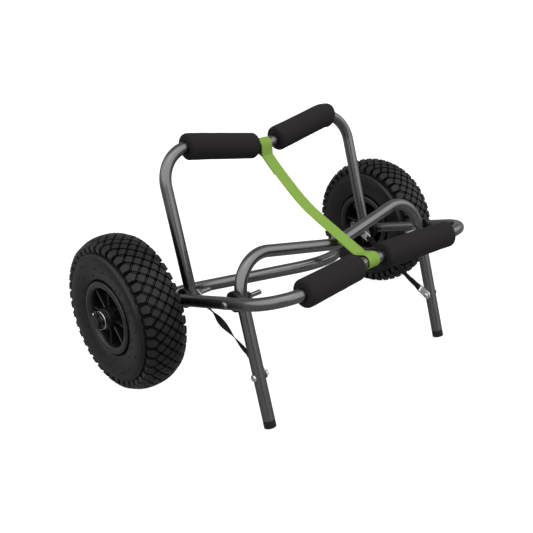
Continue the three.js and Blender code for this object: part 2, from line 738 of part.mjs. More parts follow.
function tyreSkin(arc, depth) {
  const u = Math.min(Math.abs(arc) / crownArc, 1);
  const p = crownToBelly.getPointAt(u);
  const t = crownToBelly.getTangentAt(u);
  return new THREE.Vector2((p.x + t.y * depth) * Math.sign(arc || 1), p.y - t.x * depth);
}

// Where the tyre meets the rim, and the outline of the hollow inside it
const lipGap = FIT_GAP * 3;
const hollowSides = TREAD_PITCHES / 2;
const beadSeat = clearing(RIM_SEAT_R, FIT_GAP, hollowSides);
const beadFace = RIM_SEAT_W / 2 - lipGap;
const lipTop = clearing(RIM_LIP_R, lipGap, hollowSides);
const lipIn = RIM_LIP_W / 2 - RIM_LIP_ROLL - lipGap;
const tyreHollow = [
  [beadFace - TYRE_WALL, beadSeat],
  [TYRE_WIDTH / 2 - TYRE_WALL, TYRE_BELLY_R],
  tyreSkin(LUG_FOOT_ARC * 0.7, TREAD_DEPTH + TYRE_WALL).toArray(),
];
const crownHollow = wheelR - TREAD_DEPTH - TYRE_WALL;

// Pneumatic tyre: rows of diamond blocks on the crown, a row of house-shaped
// lugs on each shoulder, a ridge under the lugs, plain side walls and beads.
// Grooves are the shared lower edges of the blocks; each block has a smaller top
function tyre() {
  const positions = [];
  const slots = 2 * TREAD_PITCHES;
  const at = ([x, r], j) => {
    const a = (2 * Math.PI * j) / slots;
    return [x, r * Math.cos(a), r * Math.sin(a)];
  };
  const skin = (arc, depth, j) => at(tyreSkin(arc, depth).toArray(), j);
  const face = (...points) => {
    for (let k = 1; k < points.length - 1; k += 1) {
      positions.push(...points[0], ...points[k + 1], ...points[k]);
    }
  };
  const block = (corners) => {
    const n = corners.length;
    const mid = corners.reduce((sum, c) => [sum[0] + c[0] / n, sum[1] + c[1] / n], [0, 0]);
    const foot = corners.map(([arc, j, depth]) => skin(arc, depth, j));
    const top = corners.map(([arc, j, depth], k) => (depth === 0 ? foot[k] : skin(
      mid[0] + (arc - mid[0]) * BLOCK_TOP_SHARE, 0, mid[1] + (j - mid[1]) * BLOCK_TOP_SHARE)));
    face(...top);
    foot.forEach((p, k) => {
      const next = (k + 1) % n;
      const ring = [p, foot[next], top[next], top[k]];
      face(...ring.filter((q, i) => q !== ring[(i + 1) % ring.length]));
    });
  };
  for (let c = -BLOCK_COLUMNS; c <= BLOCK_COLUMNS; c += 1) {
    for (let j = Math.abs(c) % 2; j < slots; j += 2) {
      block([
        [(c + 1) * BLOCK_HALF, j, TREAD_DEPTH],
        [c * BLOCK_HALF, j + 1, TREAD_DEPTH],
        [(c - 1) * BLOCK_HALF, j, TREAD_DEPTH],
        [c * BLOCK_HALF, j - 1, TREAD_DEPTH],
      ]);
    }
  }
  const lugColumn = BLOCK_COLUMNS + 1;
  for (let j = lugColumn % 2; j < slots; j += 2) {
    [1, -1].forEach((s) => {
      const corners = [
        [s * BLOCK_COLUMNS * BLOCK_HALF, j, TREAD_DEPTH],
        [s * lugColumn * BLOCK_HALF, j - s, TREAD_DEPTH],
        [s * LUG_FOOT_ARC, j - s, 0],
        [s * LUG_FOOT_ARC, j + s, 0],
        [s * lugColumn * BLOCK_HALF, j + s, TREAD_DEPTH],
      ];
      block(corners);
    });
  }
  const foot = tyreSkin(LUG_FOOT_ARC, 0).toArray();
  const under = tyreSkin(LUG_FOOT_ARC + SHOULDER_STEP_W, SHOULDER_STEP).toArray();
  const halfW = TYRE_WIDTH / 2;
  const outside = [foot, under, [halfW, TYRE_BELLY_R]];
  const bead = [[RIM_LIP_W / 2 - lipGap * 2, lipTop], [lipIn, lipTop + lipGap], [beadFace, beadSeat]];
  const mirror = (list) => list.map(([x, r]) => [-x, r]).reverse();
  const fine = (p) => Array.from({ length: TREAD_PITCHES }, (_, i) => at(p, 2 * i));
  const coarse = (p) => Array.from({ length: TREAD_PITCHES / 2 }, (_, i) => at(p, 4 * i));
  const strip = (near, far) => near.forEach((p, i) => {
    const n = (i + 1) % near.length;
    face(p, far[i], far[n], near[n]);
  });
  const half = [...bead, ...tyreHollow];
  const hidden = [...half, [0, crownHollow], ...mirror(half)];
  const rings = [...outside.map(fine), ...hidden.map(coarse), ...mirror(outside).map(fine)];
  for (let i = 0; i < rings.length - 1; i += 1) {
    const near = rings[i];
    const far = rings[i + 1];
    if (near.length === far.length) {
      strip(near, far);
    } else {
      const few = near.length < far.length ? near : far;
      few.forEach((p, k) => {
        const next = (k + 1) % few.length;
        const many = few === near ? far : near;
        const m0 = many[2 * k];
        const m1 = many[2 * k + 1];
        const m2 = many[(2 * k + 2) % many.length];
        if (few === far) {
          face(m0, p, m1);
          face(m1, p, few[next]);
          face(m1, few[next], m2);
        } else {
          face(p, m0, m1);
          face(p, m1, few[next]);
          face(few[next], m1, m2);
        }
      });
    }
  }
  const geometry = new THREE.BufferGeometry();
  geometry.setAttribute('position', new THREE.Float32BufferAttribute(positions, 3));
  geometry.computeVertexNormals();
  return geometry;
}

// Inner tube: a thin-walled ring that fills the tyre, its valve through the rim
// The hollow and the valve's bore are one space, open at the end of the valve
function innerTube(s) {
  const slack = FIT_GAP * 3;
  const seat = clearing(RIM_SEAT_R, slack, hollowSides);
  const half = tyreHollow.map(([x, r], i) => [x - slack, i === 0 ? seat : r - slack * (r > TYRE_BELLY_R)]);
  const across = (list) => [...list, ...list.map(([x, r]) => [-x, r]).reverse()];
  const body = turned(across(half), hollowSides);
  const hollow = turned(across([
    [half[0][0] - INNER_TUBE_WALL, half[0][1] + INNER_TUBE_WALL],
    [half[1][0] - INNER_TUBE_WALL, half[1][1]],
    [half[2][0] - INNER_TUBE_WALL, half[2][1] - INNER_TUBE_WALL],
  ]), hollowSides);
  const stemTop = seat + TYRE_WALL;
  const stemEnd = RIM_SEAT_R - VALVE_LENGTH;
  const stem = rodZ(stemEnd, stemTop, VALVE_D / 2, BORE_SIDES);
  const cap = rodZ(stemEnd - VALVE_CAP_LENGTH, stemEnd + CUT_OVERRUN / 2, VALVE_CAP_D / 2, BORE_SIDES);
  const bore = rodZ(stemEnd - VALVE_CAP_LENGTH - CUT_OVERRUN, stemTop + INNER_TUBE_WALL, VALVE_BORE_D / 2, 6);
  const stand = (geometry) => geometry.translate(s * VALVE_OFFSET, 0, 0).rotateX(rad(VALVE_AT_DEG - 90));
  return cut(join(body, stand(join(stem, cap))), hollow, stand(bore));
}

// Moulded rim: rolled lips, tyre seat, a dish on each side, hub and ribs
function rim(s) {
  const lip = RIM_LIP_W / 2;
  const bush = BUSH_WALL + clearing(flatsAt(tubeR, TUBE_SIDES), RUN_GAP, BUSH_SIDES);
  const bore = clearing(bush, FIT_GAP, RIM_SIDES);
  const half = [
    [HUB_LENGTH / 2, bore],
    [HUB_LENGTH / 2, HUB_D / 2],
    [RIM_WEB / 2, HUB_D / 2],
    [RIM_WEB / 2, DISH_FLOOR_R],
    [lip - RIM_LIP_ROLL, RIM_MOUTH_R - (RIM_MOUTH_R - DISH_FLOOR_R) / 3],
    [lip, RIM_MOUTH_R + RIM_LIP_ROLL / 3],
    [lip + RIM_LIP_ROLL / 3, (RIM_MOUTH_R + RIM_LIP_R) / 2],
    [lip, RIM_LIP_R - RIM_LIP_ROLL / 4],
    [lip - RIM_LIP_ROLL, RIM_LIP_R - RIM_LIP_ROLL / 4],
    [RIM_SEAT_W / 2, RIM_SEAT_R],
  ];
  const outline = [...half, ...half.map(([x, r]) => [-x, r]).reverse()];
  const body = turned(outline, RIM_SIDES);
  const ribEnd = (RIM_SEAT_R + RIM_MOUTH_R) / 2;
  const ribStart = (HUB_D / 2 + bore) / 2;
  const ribs = SIDES.flatMap(([, face]) => Array.from({ length: RIM_RIBS }, (_, i) =>
    new THREE.BoxGeometry(RIM_RIB_DEPTH + RIM_WEB / 4, ribEnd - ribStart, RIM_RIB_T)
      .translate(face * (RIM_WEB / 2 + RIM_RIB_DEPTH / 2 - RIM_WEB / 8), (ribStart + ribEnd) / 2, 0)
      .rotateX(rad(RIM_RIB_PHASE_DEG + (360 * i) / RIM_RIBS))));
  const valveHole = rodZ(DISH_FLOOR_R - HUB_D / 4, RIM_LIP_R, clearing(VALVE_D / 2, FIT_GAP, BORE_SIDES), BORE_SIDES)
    .translate(s * VALVE_OFFSET, 0, 0).rotateX(rad(VALVE_AT_DEG - 90));
  return cut(join(body, ...ribs), valveHole);
}

// Plain bearing bush in each end of the hub
function hubBush(face) {
  const bore = clearing(flatsAt(tubeR, TUBE_SIDES), RUN_GAP, BUSH_SIDES);
  const end = HUB_LENGTH / 2 - BUSH_SET_IN;
  return ring(face * (end - BUSH_LENGTH), face * end, bore, bore + BUSH_WALL, BUSH_SIDES);
}

// Lock pin through the axle tube; its head is drilled for the wire bow
function lockPin(s) {
  const shank = rodZ(-PIN_REACH, BOW_R - PIN_HEAD_L / 4, PIN_D / 2, BORE_SIDES);
  const head = rodZ(BOW_R - PIN_HEAD_L / 2, BOW_R + PIN_HEAD_L / 2, PIN_HEAD_D / 2, BORE_SIDES);
  const hole = rodX(-PIN_HEAD_D, PIN_HEAD_D, clearing(BOW_WIRE_D / 2, FIT_GAP, BORE_SIDES), BORE_SIDES)
    .translate(0, 0, BOW_R);
  return cut(join(shank, head), hole).rotateX(-rad(PIN_LEAN_DEG));
}

// Wire bow: turns in the pin head and closes round the front of the axle
function lockBow(s) {
  const inboard = -s * (PIN_HEAD_D / 2 + FIT_GAP + BOW_WIRE_D / 2);
  const corner = BOW_WIRE_D * 0.7;
  const reach = Array.from({ length: 3 }, (_, i) => (Math.PI * (i + 1)) / 4);
  const points = [
    v3(s * (PIN_HEAD_D / 2 + BOW_WIRE_D / 2), 0, BOW_R),
    v3(inboard, 0, BOW_R),
    ...reach.map((a) => v3(inboard, -BOW_R * Math.sin(a), BOW_R * Math.cos(a))),
    v3(inboard, 0, -BOW_R),
    v3(inboard + s * BOW_STUB, 0, -BOW_R),
  ];
  const line = new BentLine(points, [corner, ...reach.map(() => BOW_R / 2), corner]);
  const section = flatCircle(THREE.Shape, BOW_WIRE_D / 2, 6);
  const steps = line.runs.filter((run) => run.length > 0).map((run) => run.start);
  const stations = [...steps, line.length].map((d) => line.at(d));
  return sweep(section, stations).rotateX(-rad(PIN_LEAN_DEG));
}

SIDES.forEach(([side, s]) => {
  const wheel = new THREE.Group();
  wheel.position.set(s * wheelX, 0, wheelR);
  cart.add(wheel);
  place(wheel, `tyre_${side}`, tyre(), TYRE_RUBBER);
  place(wheel, `inner_tube_${side}`, innerTube(s), TUBE_RUBBER);
  place(wheel, `rim_${side}`, rim(s), RIM_PLASTIC);
  place(wheel, `hub_bush_outer_${side}`, hubBush(s), BLACK_PLASTIC);
  place(wheel, `hub_bush_inner_${side}`, hubBush(-s), BLACK_PLASTIC);

  // Spacer, washer, cap and lock pin on the axle end
  const bore = clearing(flatsAt(tubeR, TUBE_SIDES), FIT_GAP, ROUND_SIDES);
  place(deck, `axle_collar_${side}`, ring(s * (armOuter + FIT_GAP), s * (hubInner - FIT_GAP),
    bore, COLLAR_D / 2, ROUND_SIDES), BLACK_PLASTIC);
  place(deck, `axle_washer_${side}`, ring(s * (hubOuter + FIT_GAP), s * (hubOuter + FIT_GAP + WASHER_T),
    bore, WASHER_D / 2, ROUND_SIDES), BLACK_PLASTIC);
  const capInner = axleEnd + FIT_GAP;
  place(deck, `axle_cap_${side}`, turned([
    [s * (capInner - CAP_STEM), 0],
    [s * (capInner - CAP_STEM), tubeBore - FIT_GAP],
    [s * capInner, tubeBore - FIT_GAP],
    [s * capInner, CAP_D / 2],
    [s * (capInner + CAP_HEAD * 0.6), CAP_D / 2],
    [s * (capInner + CAP_HEAD), CAP_D / 2 - CAP_HEAD * 0.6],
    [s * (capInner + CAP_HEAD), 0],
  ], ROUND_SIDES), BLACK_PLASTIC);
  place(cart, `lock_pin_${side}`, lockPin(s), BRIGHT_STEEL, s * pinX, 0, wheelR);
  place(cart, `lock_bow_${side}`, lockBow(s), BRIGHT_STEEL, s * pinX, 0, wheelR);
});

// Stand the cart on the ground with its outline centred over the origin
cart.updateMatrixWorld(true);
const outline = new THREE.Box3().setFromObject(cart, true);
cart.position.set(
  -(outline.min.x + outline.max.x) / 2,
  -(outline.min.y + outline.max.y) / 2,
  -outline.min.z,
);
cart.updateMatrixWorld(true);

export default cart;
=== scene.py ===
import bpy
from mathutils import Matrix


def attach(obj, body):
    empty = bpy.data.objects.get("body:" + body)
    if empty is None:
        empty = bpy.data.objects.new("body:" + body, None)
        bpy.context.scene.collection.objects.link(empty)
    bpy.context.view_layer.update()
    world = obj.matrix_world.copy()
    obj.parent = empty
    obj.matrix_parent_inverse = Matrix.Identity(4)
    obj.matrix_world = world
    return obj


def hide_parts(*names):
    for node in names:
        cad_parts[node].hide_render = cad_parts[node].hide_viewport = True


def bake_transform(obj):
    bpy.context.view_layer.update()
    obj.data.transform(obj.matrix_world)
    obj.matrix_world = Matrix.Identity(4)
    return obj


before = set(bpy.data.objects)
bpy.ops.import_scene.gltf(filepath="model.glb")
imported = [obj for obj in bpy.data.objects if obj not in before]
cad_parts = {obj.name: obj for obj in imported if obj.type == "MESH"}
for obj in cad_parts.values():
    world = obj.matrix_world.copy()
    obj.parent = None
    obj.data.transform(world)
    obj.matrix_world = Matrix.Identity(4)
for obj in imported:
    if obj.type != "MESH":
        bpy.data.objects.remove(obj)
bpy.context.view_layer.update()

import bpy
import bmesh
import math
import random
from mathutils import Matrix, Vector, noise

# Bent frame tubes. Four lengths of 20 mm alloy tube, cold bent and finished
# in a dark satin grey. The front cradle lies in the deck plane, which holds
# the axle and leans back; the rear hoop and the stand rise square to it.
TUBE_R, TUBE_WALL, TUBE_FACETS = 0.010, 0.0015, 28
RIM_EASE = 0.35 * TUBE_WALL
BEND_STEP, SOFT_LIMIT = math.radians(5), math.radians(34)
AXLE_Y, AXLE_Z, DECK_LEAN = 0.082376, 0.130, math.radians(21.1)
DECK = Matrix.Translation((0, AXLE_Y, AXLE_Z)) @ Matrix.Rotation(-DECK_LEAN, 4, "X")
DECK_FLAT = Vector((0, 0, 1))


def bent_path(points, radii, step=BEND_STEP):
    """Points and headings along straight runs joined by arcs."""
    path = [(points[0], (points[1] - points[0]).normalized())]
    for corner, before, after, radius in zip(points[1:-1], points, points[2:], radii):
        into = (corner - before).normalized()
        out = (after - corner).normalized()
        turn = into.angle(out)
        start = corner - into * radius * math.tan(turn / 2)
        inward = (out - into * out.dot(into)).normalized()
        count = max(2, math.ceil(turn / step))
        for i in range(count + 1):
            a = turn * i / count
            place = start + into * radius * math.sin(a) + inward * radius * (1 - math.cos(a))
            path.append((place, into * math.cos(a) + inward * math.sin(a)))
    path.append((points[-1], (points[-1] - points[-2]).normalized()))
    return path


def soften(mesh):
    """Shades a mesh smooth but for its real corners."""
    mesh.polygons.foreach_set("use_smooth", [True] * len(mesh.polygons))
    mesh.set_sharp_from_angle(angle=SOFT_LIMIT)


def link_object(name, data):
    obj = bpy.data.objects.new(name, data)
    bpy.context.scene.collection.objects.link(obj)
    return obj


def mesh_object(name, verts, faces, move=None):
    """Object of one skin, its faces turned outward."""
    mesh = bpy.data.meshes.new(name)
    mesh.from_pydata([tuple(v) for v in verts], [], faces)
    mesh.validate()
    work = bmesh.new()
    work.from_mesh(mesh)
    bmesh.ops.recalc_face_normals(work, faces=work.faces)
    work.to_mesh(mesh)
    work.free()
    soften(mesh)
    if move is not None:
        mesh.transform(move)
    return link_object(name, mesh)


def ring_stack(rings, closed=False):
    """Vertices and faces of a skin through rings of equal count."""
    count = len(rings[0])
    verts = [v for ring in rings for v in ring]
    faces = []
    spans = len(rings) if closed else len(rings) - 1
    for i in range(spans):
        for k in range(count):
            a, b = i * count + k, i * count + (k + 1) % count
            shift = ((i + 1) % len(rings)) * count
            faces.append((a, b, shift + (k + 1) % count, shift + k))
    if not closed:
        faces.append(tuple(range(count))[::-1])
        faces.append(tuple((len(rings) - 1) * count + k for k in range(count)))
    return verts, faces


def ring_at(place, heading, flat, radius, sides):
    """Ring of points round a place, square to the heading."""
    across = flat.cross(heading).normalized()
    turns = [2 * math.pi * k / sides for k in range(sides)]
    return [place + flat * radius * math.cos(a) + across * radius * math.sin(a) for a in turns]


def tube_object(name, path, flat, move):
    """Hollow tube whose rims are eased a little at both ends."""
    (first, start), (last, end) = path[0], path[-1]
    skin = [(first, start, TUBE_R - RIM_EASE), (first + start * RIM_EASE, start, TUBE_R)]
    skin += [(p, t, TUBE_R) for p, t in path[1:-1]]
    skin += [(last - end * RIM_EASE, end, TUBE_R), (last, end, TUBE_R - RIM_EASE)]
    bore = [(p, t, TUBE_R - TUBE_WALL) for p, t in reversed(path)]
    rings = [ring_at(p, t, flat, r, TUBE_FACETS) for p, t, r in skin + bore]
    return mesh_object(name, *ring_stack(rings, closed=True), move=move)


def node_group(name, inputs, outputs):
    """Empty shader group with its named sockets."""
    group = bpy.data.node_groups.new(name, "ShaderNodeTree")
    for socket, kind, value in inputs:
        item = group.interface.new_socket(name=socket, in_out="INPUT", socket_type=kind)
        item.default_value = value
    for socket, kind in outputs:
        group.interface.new_socket(name=socket, in_out="OUTPUT", socket_type=kind)
    start = group.nodes.new("NodeGroupInput")
    end = group.nodes.new("NodeGroupOutput")
    return group, start.outputs, end.inputs


def add_node(tree, kind, links=None, **settings):
    """Adds a node; settings go to its properties or its named inputs."""
    node = tree.nodes.new(kind)
    for key, value in settings.items():
        if hasattr(node, key):
            setattr(node, key, value)
        else:
            node.inputs[key.replace("_", " ")].default_value = value
    for key, source in (links or {}).items():
        tree.links.new(source, node.inputs[key])
    return node


def combine(tree, operation, *values):
    """Math node on sockets and plain numbers; gives its result."""
    node = add_node(tree, "ShaderNodeMath", operation=operation)
    for socket, value in zip(node.inputs, values):
        if isinstance(value, bpy.types.NodeSocket):
            tree.links.new(value, socket)
        else:
            socket.default_value = value
    return node.outputs[0]


# Grain group: fine speckle that shades the colour, the gloss and the surface
GRAIN_DEPTH = 0.0002
grain, grain_in, grain_out = node_group(
    "surface grain",
    [("Colour", "NodeSocketColor", (0.1, 0.1, 0.1, 1)), ("Scale", "NodeSocketFloat", 900.0),
     ("Mottle", "NodeSocketFloat", 0.15), ("Roughness", "NodeSocketFloat", 0.5),
     ("Roughness Spread", "NodeSocketFloat", 0.1), ("Bump", "NodeSocketFloat", 0.2)],
    [("Colour", "NodeSocketColor"), ("Roughness", "NodeSocketFloat"), ("Normal", "NodeSocketVector")],
)
where = add_node(grain, "ShaderNodeTexCoord").outputs["Object"]
fine = add_node(grain, "ShaderNodeTexNoise", {"Vector": where, "Scale": grain_in["Scale"]}, Detail=3.0)
broad = add_node(grain, "ShaderNodeTexNoise", {"Vector": where}, Scale=28.0, Detail=4.0)
centred = combine(grain, "SUBTRACT", combine(grain, "ADD", fine.outputs["Fac"], broad.outputs["Fac"]), 1.0)
shade = combine(grain, "MULTIPLY_ADD", centred, grain_in["Mottle"], 1.0)
gloss = combine(grain, "MULTIPLY_ADD", centred, grain_in["Roughness Spread"], grain_in["Roughness"])
tinted = add_node(grain, "ShaderNodeVectorMath", {0: grain_in["Colour"], "Scale": shade}, operation="SCALE")
grain.links.new(tinted.outputs[0], grain_out["Colour"])
grain.links.new(gloss, grain_out["Roughness"])
bump = add_node(grain, "ShaderNodeBump", {"Height": fine.outputs["Fac"], "Strength": grain_in["Bump"]},
                Distance=GRAIN_DEPTH)
grain.links.new(bump.outputs[0], grain_out["Normal"])


def finish(name, effect, values, shader):
    """Material whose colour, gloss and relief come from one shader group."""
    material = bpy.data.materials.new(name)
    material.use_nodes = True
    tree = material.node_tree
    body = tree.nodes["Principled BSDF"]
    group = add_node(tree, "ShaderNodeGroup", node_tree=effect)
    for socket, value in values.items():
        group.inputs[socket].default_value = value
    for output, socket in (("Colour", "Base Color"), ("Roughness", "Roughness"), ("Normal", "Normal")):
        tree.links.new(group.outputs[output], body.inputs[socket])
    for socket, value in shader.items():
        body.inputs[socket.replace("_", " ")].default_value = value
    return material


def grained(name, colour, scale, mottle, roughness, spread, bump_size, **shader):
    values = {"Colour": (*colour, 1), "Scale": scale, "Mottle": mottle, "Roughness": roughness,
              "Roughness Spread": spread, "Bump": bump_size}
    return finish(name, grain, values, shader)


def finish_piece(obj, material, body, slot, *nodes):
    """Gives a piece its material and its body, and hides the nodes it stands for; the slot is not used."""
    obj.data.materials.clear()
    obj.data.materials.append(material)
    if body:
        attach(obj, body)
    if nodes:
        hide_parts(*nodes)


satin_grey = grained("satin grey tube", (0.168, 0.165, 0.166), 1500, 0.12, 0.27, 0.06, 0.05, Metallic=1.0)

# Front cradle tube. One length of tube: its side arms run forward from the axle
# and bend into a shallow vee bar, which carries the hull on two foam sleeves.
ARM_X, FRONT_REACH, FRONT_VEE = 0.239, 0.305, 0.045
FRONT_CORNER_R, FRONT_VEE_R, WELD_GAP = 0.058, 0.062, 0.001


def front_line(step=BEND_STEP):
    """Middle line of the front cradle tube."""
    left = [Vector((-ARM_X, -WELD_GAP, 0)), Vector((-ARM_X, -FRONT_REACH, 0))]
    right = [Vector((-p.x, p.y, 0)) for p in reversed(left)]
    middle = Vector((0, FRONT_VEE - FRONT_REACH, 0))
    return bent_path([*left, middle, *right], [FRONT_CORNER_R, FRONT_VEE_R, FRONT_CORNER_R], step)


front_tube = tube_object("front_cradle_bar", front_line(), DECK_FLAT, DECK)
finish_piece(front_tube, satin_grey, "chassis", "tube_grey", "front_cradle_tube")

# Axle tube: straight ends carry the wheels, and the middle bends forward in a
# vee, which clears the keel. The side arms are welded to its straight ends.
AXLE_END, VEE_START, VEE_REACH = 0.3643, 0.1934, 0.182
VEE_END_R, VEE_TIP_R = 0.040, 0.068
axle_corners = [Vector((x, 0, 0)) for x in (-AXLE_END, -VEE_START, VEE_START, AXLE_END)]
axle_corners.insert(2, Vector((0, -VEE_REACH, 0)))
axle_path = bent_path(axle_corners, [VEE_END_R, VEE_TIP_R, VEE_END_R])
axle_tube = tube_object("axle_bar", axle_path, DECK_FLAT, DECK)
finish_piece(axle_tube, satin_grey, "chassis", "tube_grey", "axle_tube")

# Weld beads. They join the side arms to the axle tube, run all round each arm's
# end, and were laid in small overlapping steps that still show as ripples.
SIDES = (("left", -1), ("right", 1))
BEAD_R, BEAD_RUNS, BEAD_STEPS, BEAD_FACETS = 0.0019, 22, 6, 8
BEAD_RIPPLE, BEAD_LEAN = 0.14, 0.6
for side, sign in SIDES:
    rings = []
    steps = BEAD_RUNS * BEAD_STEPS
    for i in range(steps):
        a = 2 * math.pi * i / steps
        seat = Vector((sign * ARM_X + TUBE_R * math.cos(a), -abs(TUBE_R * math.cos(a)), TUBE_R * math.sin(a)))
        out = Vector((math.cos(a), -BEAD_LEAN, math.sin(a))).normalized()
        heading = Vector((-math.sin(a), 0, math.cos(a)))
        ripple = 1 + BEAD_RIPPLE * math.cos(BEAD_RUNS * a)
        rings.append(ring_at(seat, heading, out, BEAD_R * ripple, BEAD_FACETS))
    bead = mesh_object(f"arm_weld_{side}", *ring_stack(rings, closed=True), move=DECK)
    finish_piece(bead, satin_grey, "chassis", "tube_grey")

# Rear hoop. One bent tube that stands on the side arms, bolted through its legs,
# and carries the other end of the hull on its dipped bar. It folds forward.
LEG_X, REAR_RISE, REAR_VEE, REAR_TAIL, REAR_BEND_R = 0.2155, 0.248, 0.038, 0.014, 0.056
REAR_PIVOT = Vector((0, -0.059, 0))
HOOP_FLAT = Vector((0, 1, 0))


def hoop_line(foot, rise, dip, bend):
    """Middle line of a hoop: two legs up from their feet and a dipped bar."""
    corners = [(-LEG_X, foot), (-LEG_X, rise), (0, rise - dip), (LEG_X, rise), (LEG_X, foot)]
    return bent_path([Vector((x, 0, z)) for x, z in corners], [bend] * 3)


rear_path = hoop_line(-REAR_TAIL, REAR_RISE, REAR_VEE, REAR_BEND_R)
rear_place = DECK @ Matrix.Translation(REAR_PIVOT)
rear_tube = tube_object("rear_hoop_bar", rear_path, HOOP_FLAT, rear_place)
finish_piece(rear_tube, satin_grey, "rear_cradle", "tube_grey", "rear_cradle_tube")

# Folding stand. One bent tube, bolted inside the side arms: two legs below them
# keep the cart level, and a dipped bar above them crosses from side to side.
STAND_RISE, STAND_VEE, STAND_BEND_R = 0.070, 0.042, 0.057
FOOT_DROP, FOOT_HEAD = 0.2100, 0.012
STAND_PIVOT = Vector((0, -0.193, 0))
stand_path = hoop_line(FOOT_HEAD - FOOT_DROP, STAND_RISE, STAND_VEE, STAND_BEND_R)
stand_place = DECK @ Matrix.Translation(STAND_PIVOT)
stand_tube = tube_object("stand_bar", stand_path, HOOP_FLAT, stand_place)
finish_piece(stand_tube, satin_grey, "stand", "tube_grey", "stand_tube")

# End plugs. Black moulded plugs press into the open tube ends: thick feet with
# an eased tread edge under the stand, and thin ones in the rear hoop's tails.
black_plastic = grained("black moulded plastic", (0.0085, 0.0080, 0.0080), 700, 0.25, 0.40, 0.12, 0.25,
                        Specular_IOR_Level=0.28)
GAP, CLOSED_R, EASE_STEPS = 0.0003, 1e-5, 4
PLUG_R, PLUG_TIP_R, PLUG_LIP, FOOT_PLUG, HOOP_PLUG = 0.0082, 0.0080, 0.0025, 0.026, 0.0080


def circle(sides):
    """Points round a circle of radius one."""
    return [(math.cos(2 * math.pi * k / sides), math.sin(2 * math.pi * k / sides)) for k in range(sides)]


def turned(name, outline, sides=48, axis="Z", move=None):
    """Solid of revolution from (height, radius) pairs, the ends on the axis or not."""
    rings = []
    for h, r in outline:
        around = [(max(r, CLOSED_R) * c, max(r, CLOSED_R) * s) for c, s in circle(sides)]
        rings.append([(c, s, h) if axis == "Z" else (h, c, s) for c, s in around])
    return mesh_object(name, *ring_stack(rings, closed=outline[0][1] > 0), move=move)


def eased(h0, r0, h1, r1, h2, r2, ease):
    """Rounds the corner (h1, r1) between two straight runs."""
    corner, before, after = Vector((h1, r1)), Vector((h0, r0)), Vector((h2, r2))
    start = corner + (before - corner).normalized() * ease
    end = corner + (after - corner).normalized() * ease
    points = []
    for i in range(EASE_STEPS + 1):
        t = i / EASE_STEPS
        point = start * (1 - t) ** 2 + corner * 2 * t * (1 - t) + end * t ** 2
        points.append((point.x, point.y))
    return points


def rounded(outline, eases):
    """Closed or open outline with each inner corner eased by its own amount."""
    points = [outline[0]]
    for i, ease in enumerate(eases, start=1):
        before, corner, after = outline[i - 1], outline[i], outline[(i + 1) % len(outline)]
        points += eased(*before, *corner, *after, ease) if ease else [corner]
    points += outline[len(eases) + 1:]
    return points


def end_plug(name, foot, neck, tip, eases, move):
    """Plug with a head as wide as the tube and a neck that presses into it."""
    outline = [(foot, 0), (foot, TUBE_R), (neck, TUBE_R), (neck, PLUG_R), (tip, PLUG_TIP_R), (tip, 0)]
    return turned(name, rounded(outline, eases), move=move)


for side, sign in SIDES:
    leg = Matrix.Translation((sign * LEG_X, 0, 0))
    plug = end_plug(f"foot_plug_{side}", -FOOT_DROP, FOOT_HEAD - FOOT_DROP - GAP, FOOT_PLUG - FOOT_DROP,
                    [0.0012, 0.0006, 0, 0.001], stand_place @ leg)
    finish_piece(plug, black_plastic, "stand", "black_plastic", f"foot_cap_{side}")
    foot = -REAR_TAIL - PLUG_LIP - GAP
    plug = end_plug(f"hoop_end_plug_{side}", foot, foot + PLUG_LIP, foot + HOOP_PLUG,
                    [0.0010, 0.0004, 0, 0.001], rear_place @ leg)
    finish_piece(plug, black_plastic, "rear_cradle", "black_plastic", f"rear_leg_plug_{side}")

# Pneumatic tyres, 260 x 85. Moulded rubber: a crown of diamond blocks set on a
# square lattice at 45 degrees, house-shaped lugs round each shoulder, two low
# rings under them, plain side walls with moulding pips, and beads in the rim.
WHEEL_R, TYRE_HALF, BELLY_R, TYRE_POWER = 0.130, 0.04125, 0.094, 2.41
WHEEL_X, PITCHES = 0.3085, 42
BLOCK_COLUMNS, BLOCK_HALF, GROOVE_DEPTH = 2, 0.0097, 0.0044
LUG_APEX, LUG_WIDE = BLOCK_COLUMNS * BLOCK_HALF, (BLOCK_COLUMNS + 1) * BLOCK_HALF
LUG_FOOT, LUG_FOOT_DEPTH, LUG_END = 0.047, 0.0052, 0.0392
LUG_TAPER, LUG_PROUD, LUG_RISE, LUG_EAVE = 0.42, 0.0013, 0.005, 0.0006
BAR_COUNT, BAR_PITCH = 3, 0.2

# Rows of a block, a groove bar and a lug, from the groove's floor to the top
BLOCK_ROWS = [(1.0, GROOVE_DEPTH), (0.82, GROOVE_DEPTH), (0.73, 0.0004), (0.71, 0.0)]
BAR_ROWS = [(GROOVE_DEPTH + GAP, 0.042, 0.078), (0.0014, 0.032, 0.066)]
LUG_ROWS = [(LUG_WIDE, GROOVE_DEPTH), (0.034, 0.0048), (0.039, 0.0052), (LUG_FOOT, LUG_FOOT_DEPTH)]
LUG_LEVELS = [(0, GROOVE_DEPTH, LUG_FOOT), (0.16, 0.0060, LUG_FOOT - 0.0004), (0.25, 0.0005, LUG_END),
              (0.28, 0.0, LUG_END - 0.0005)]

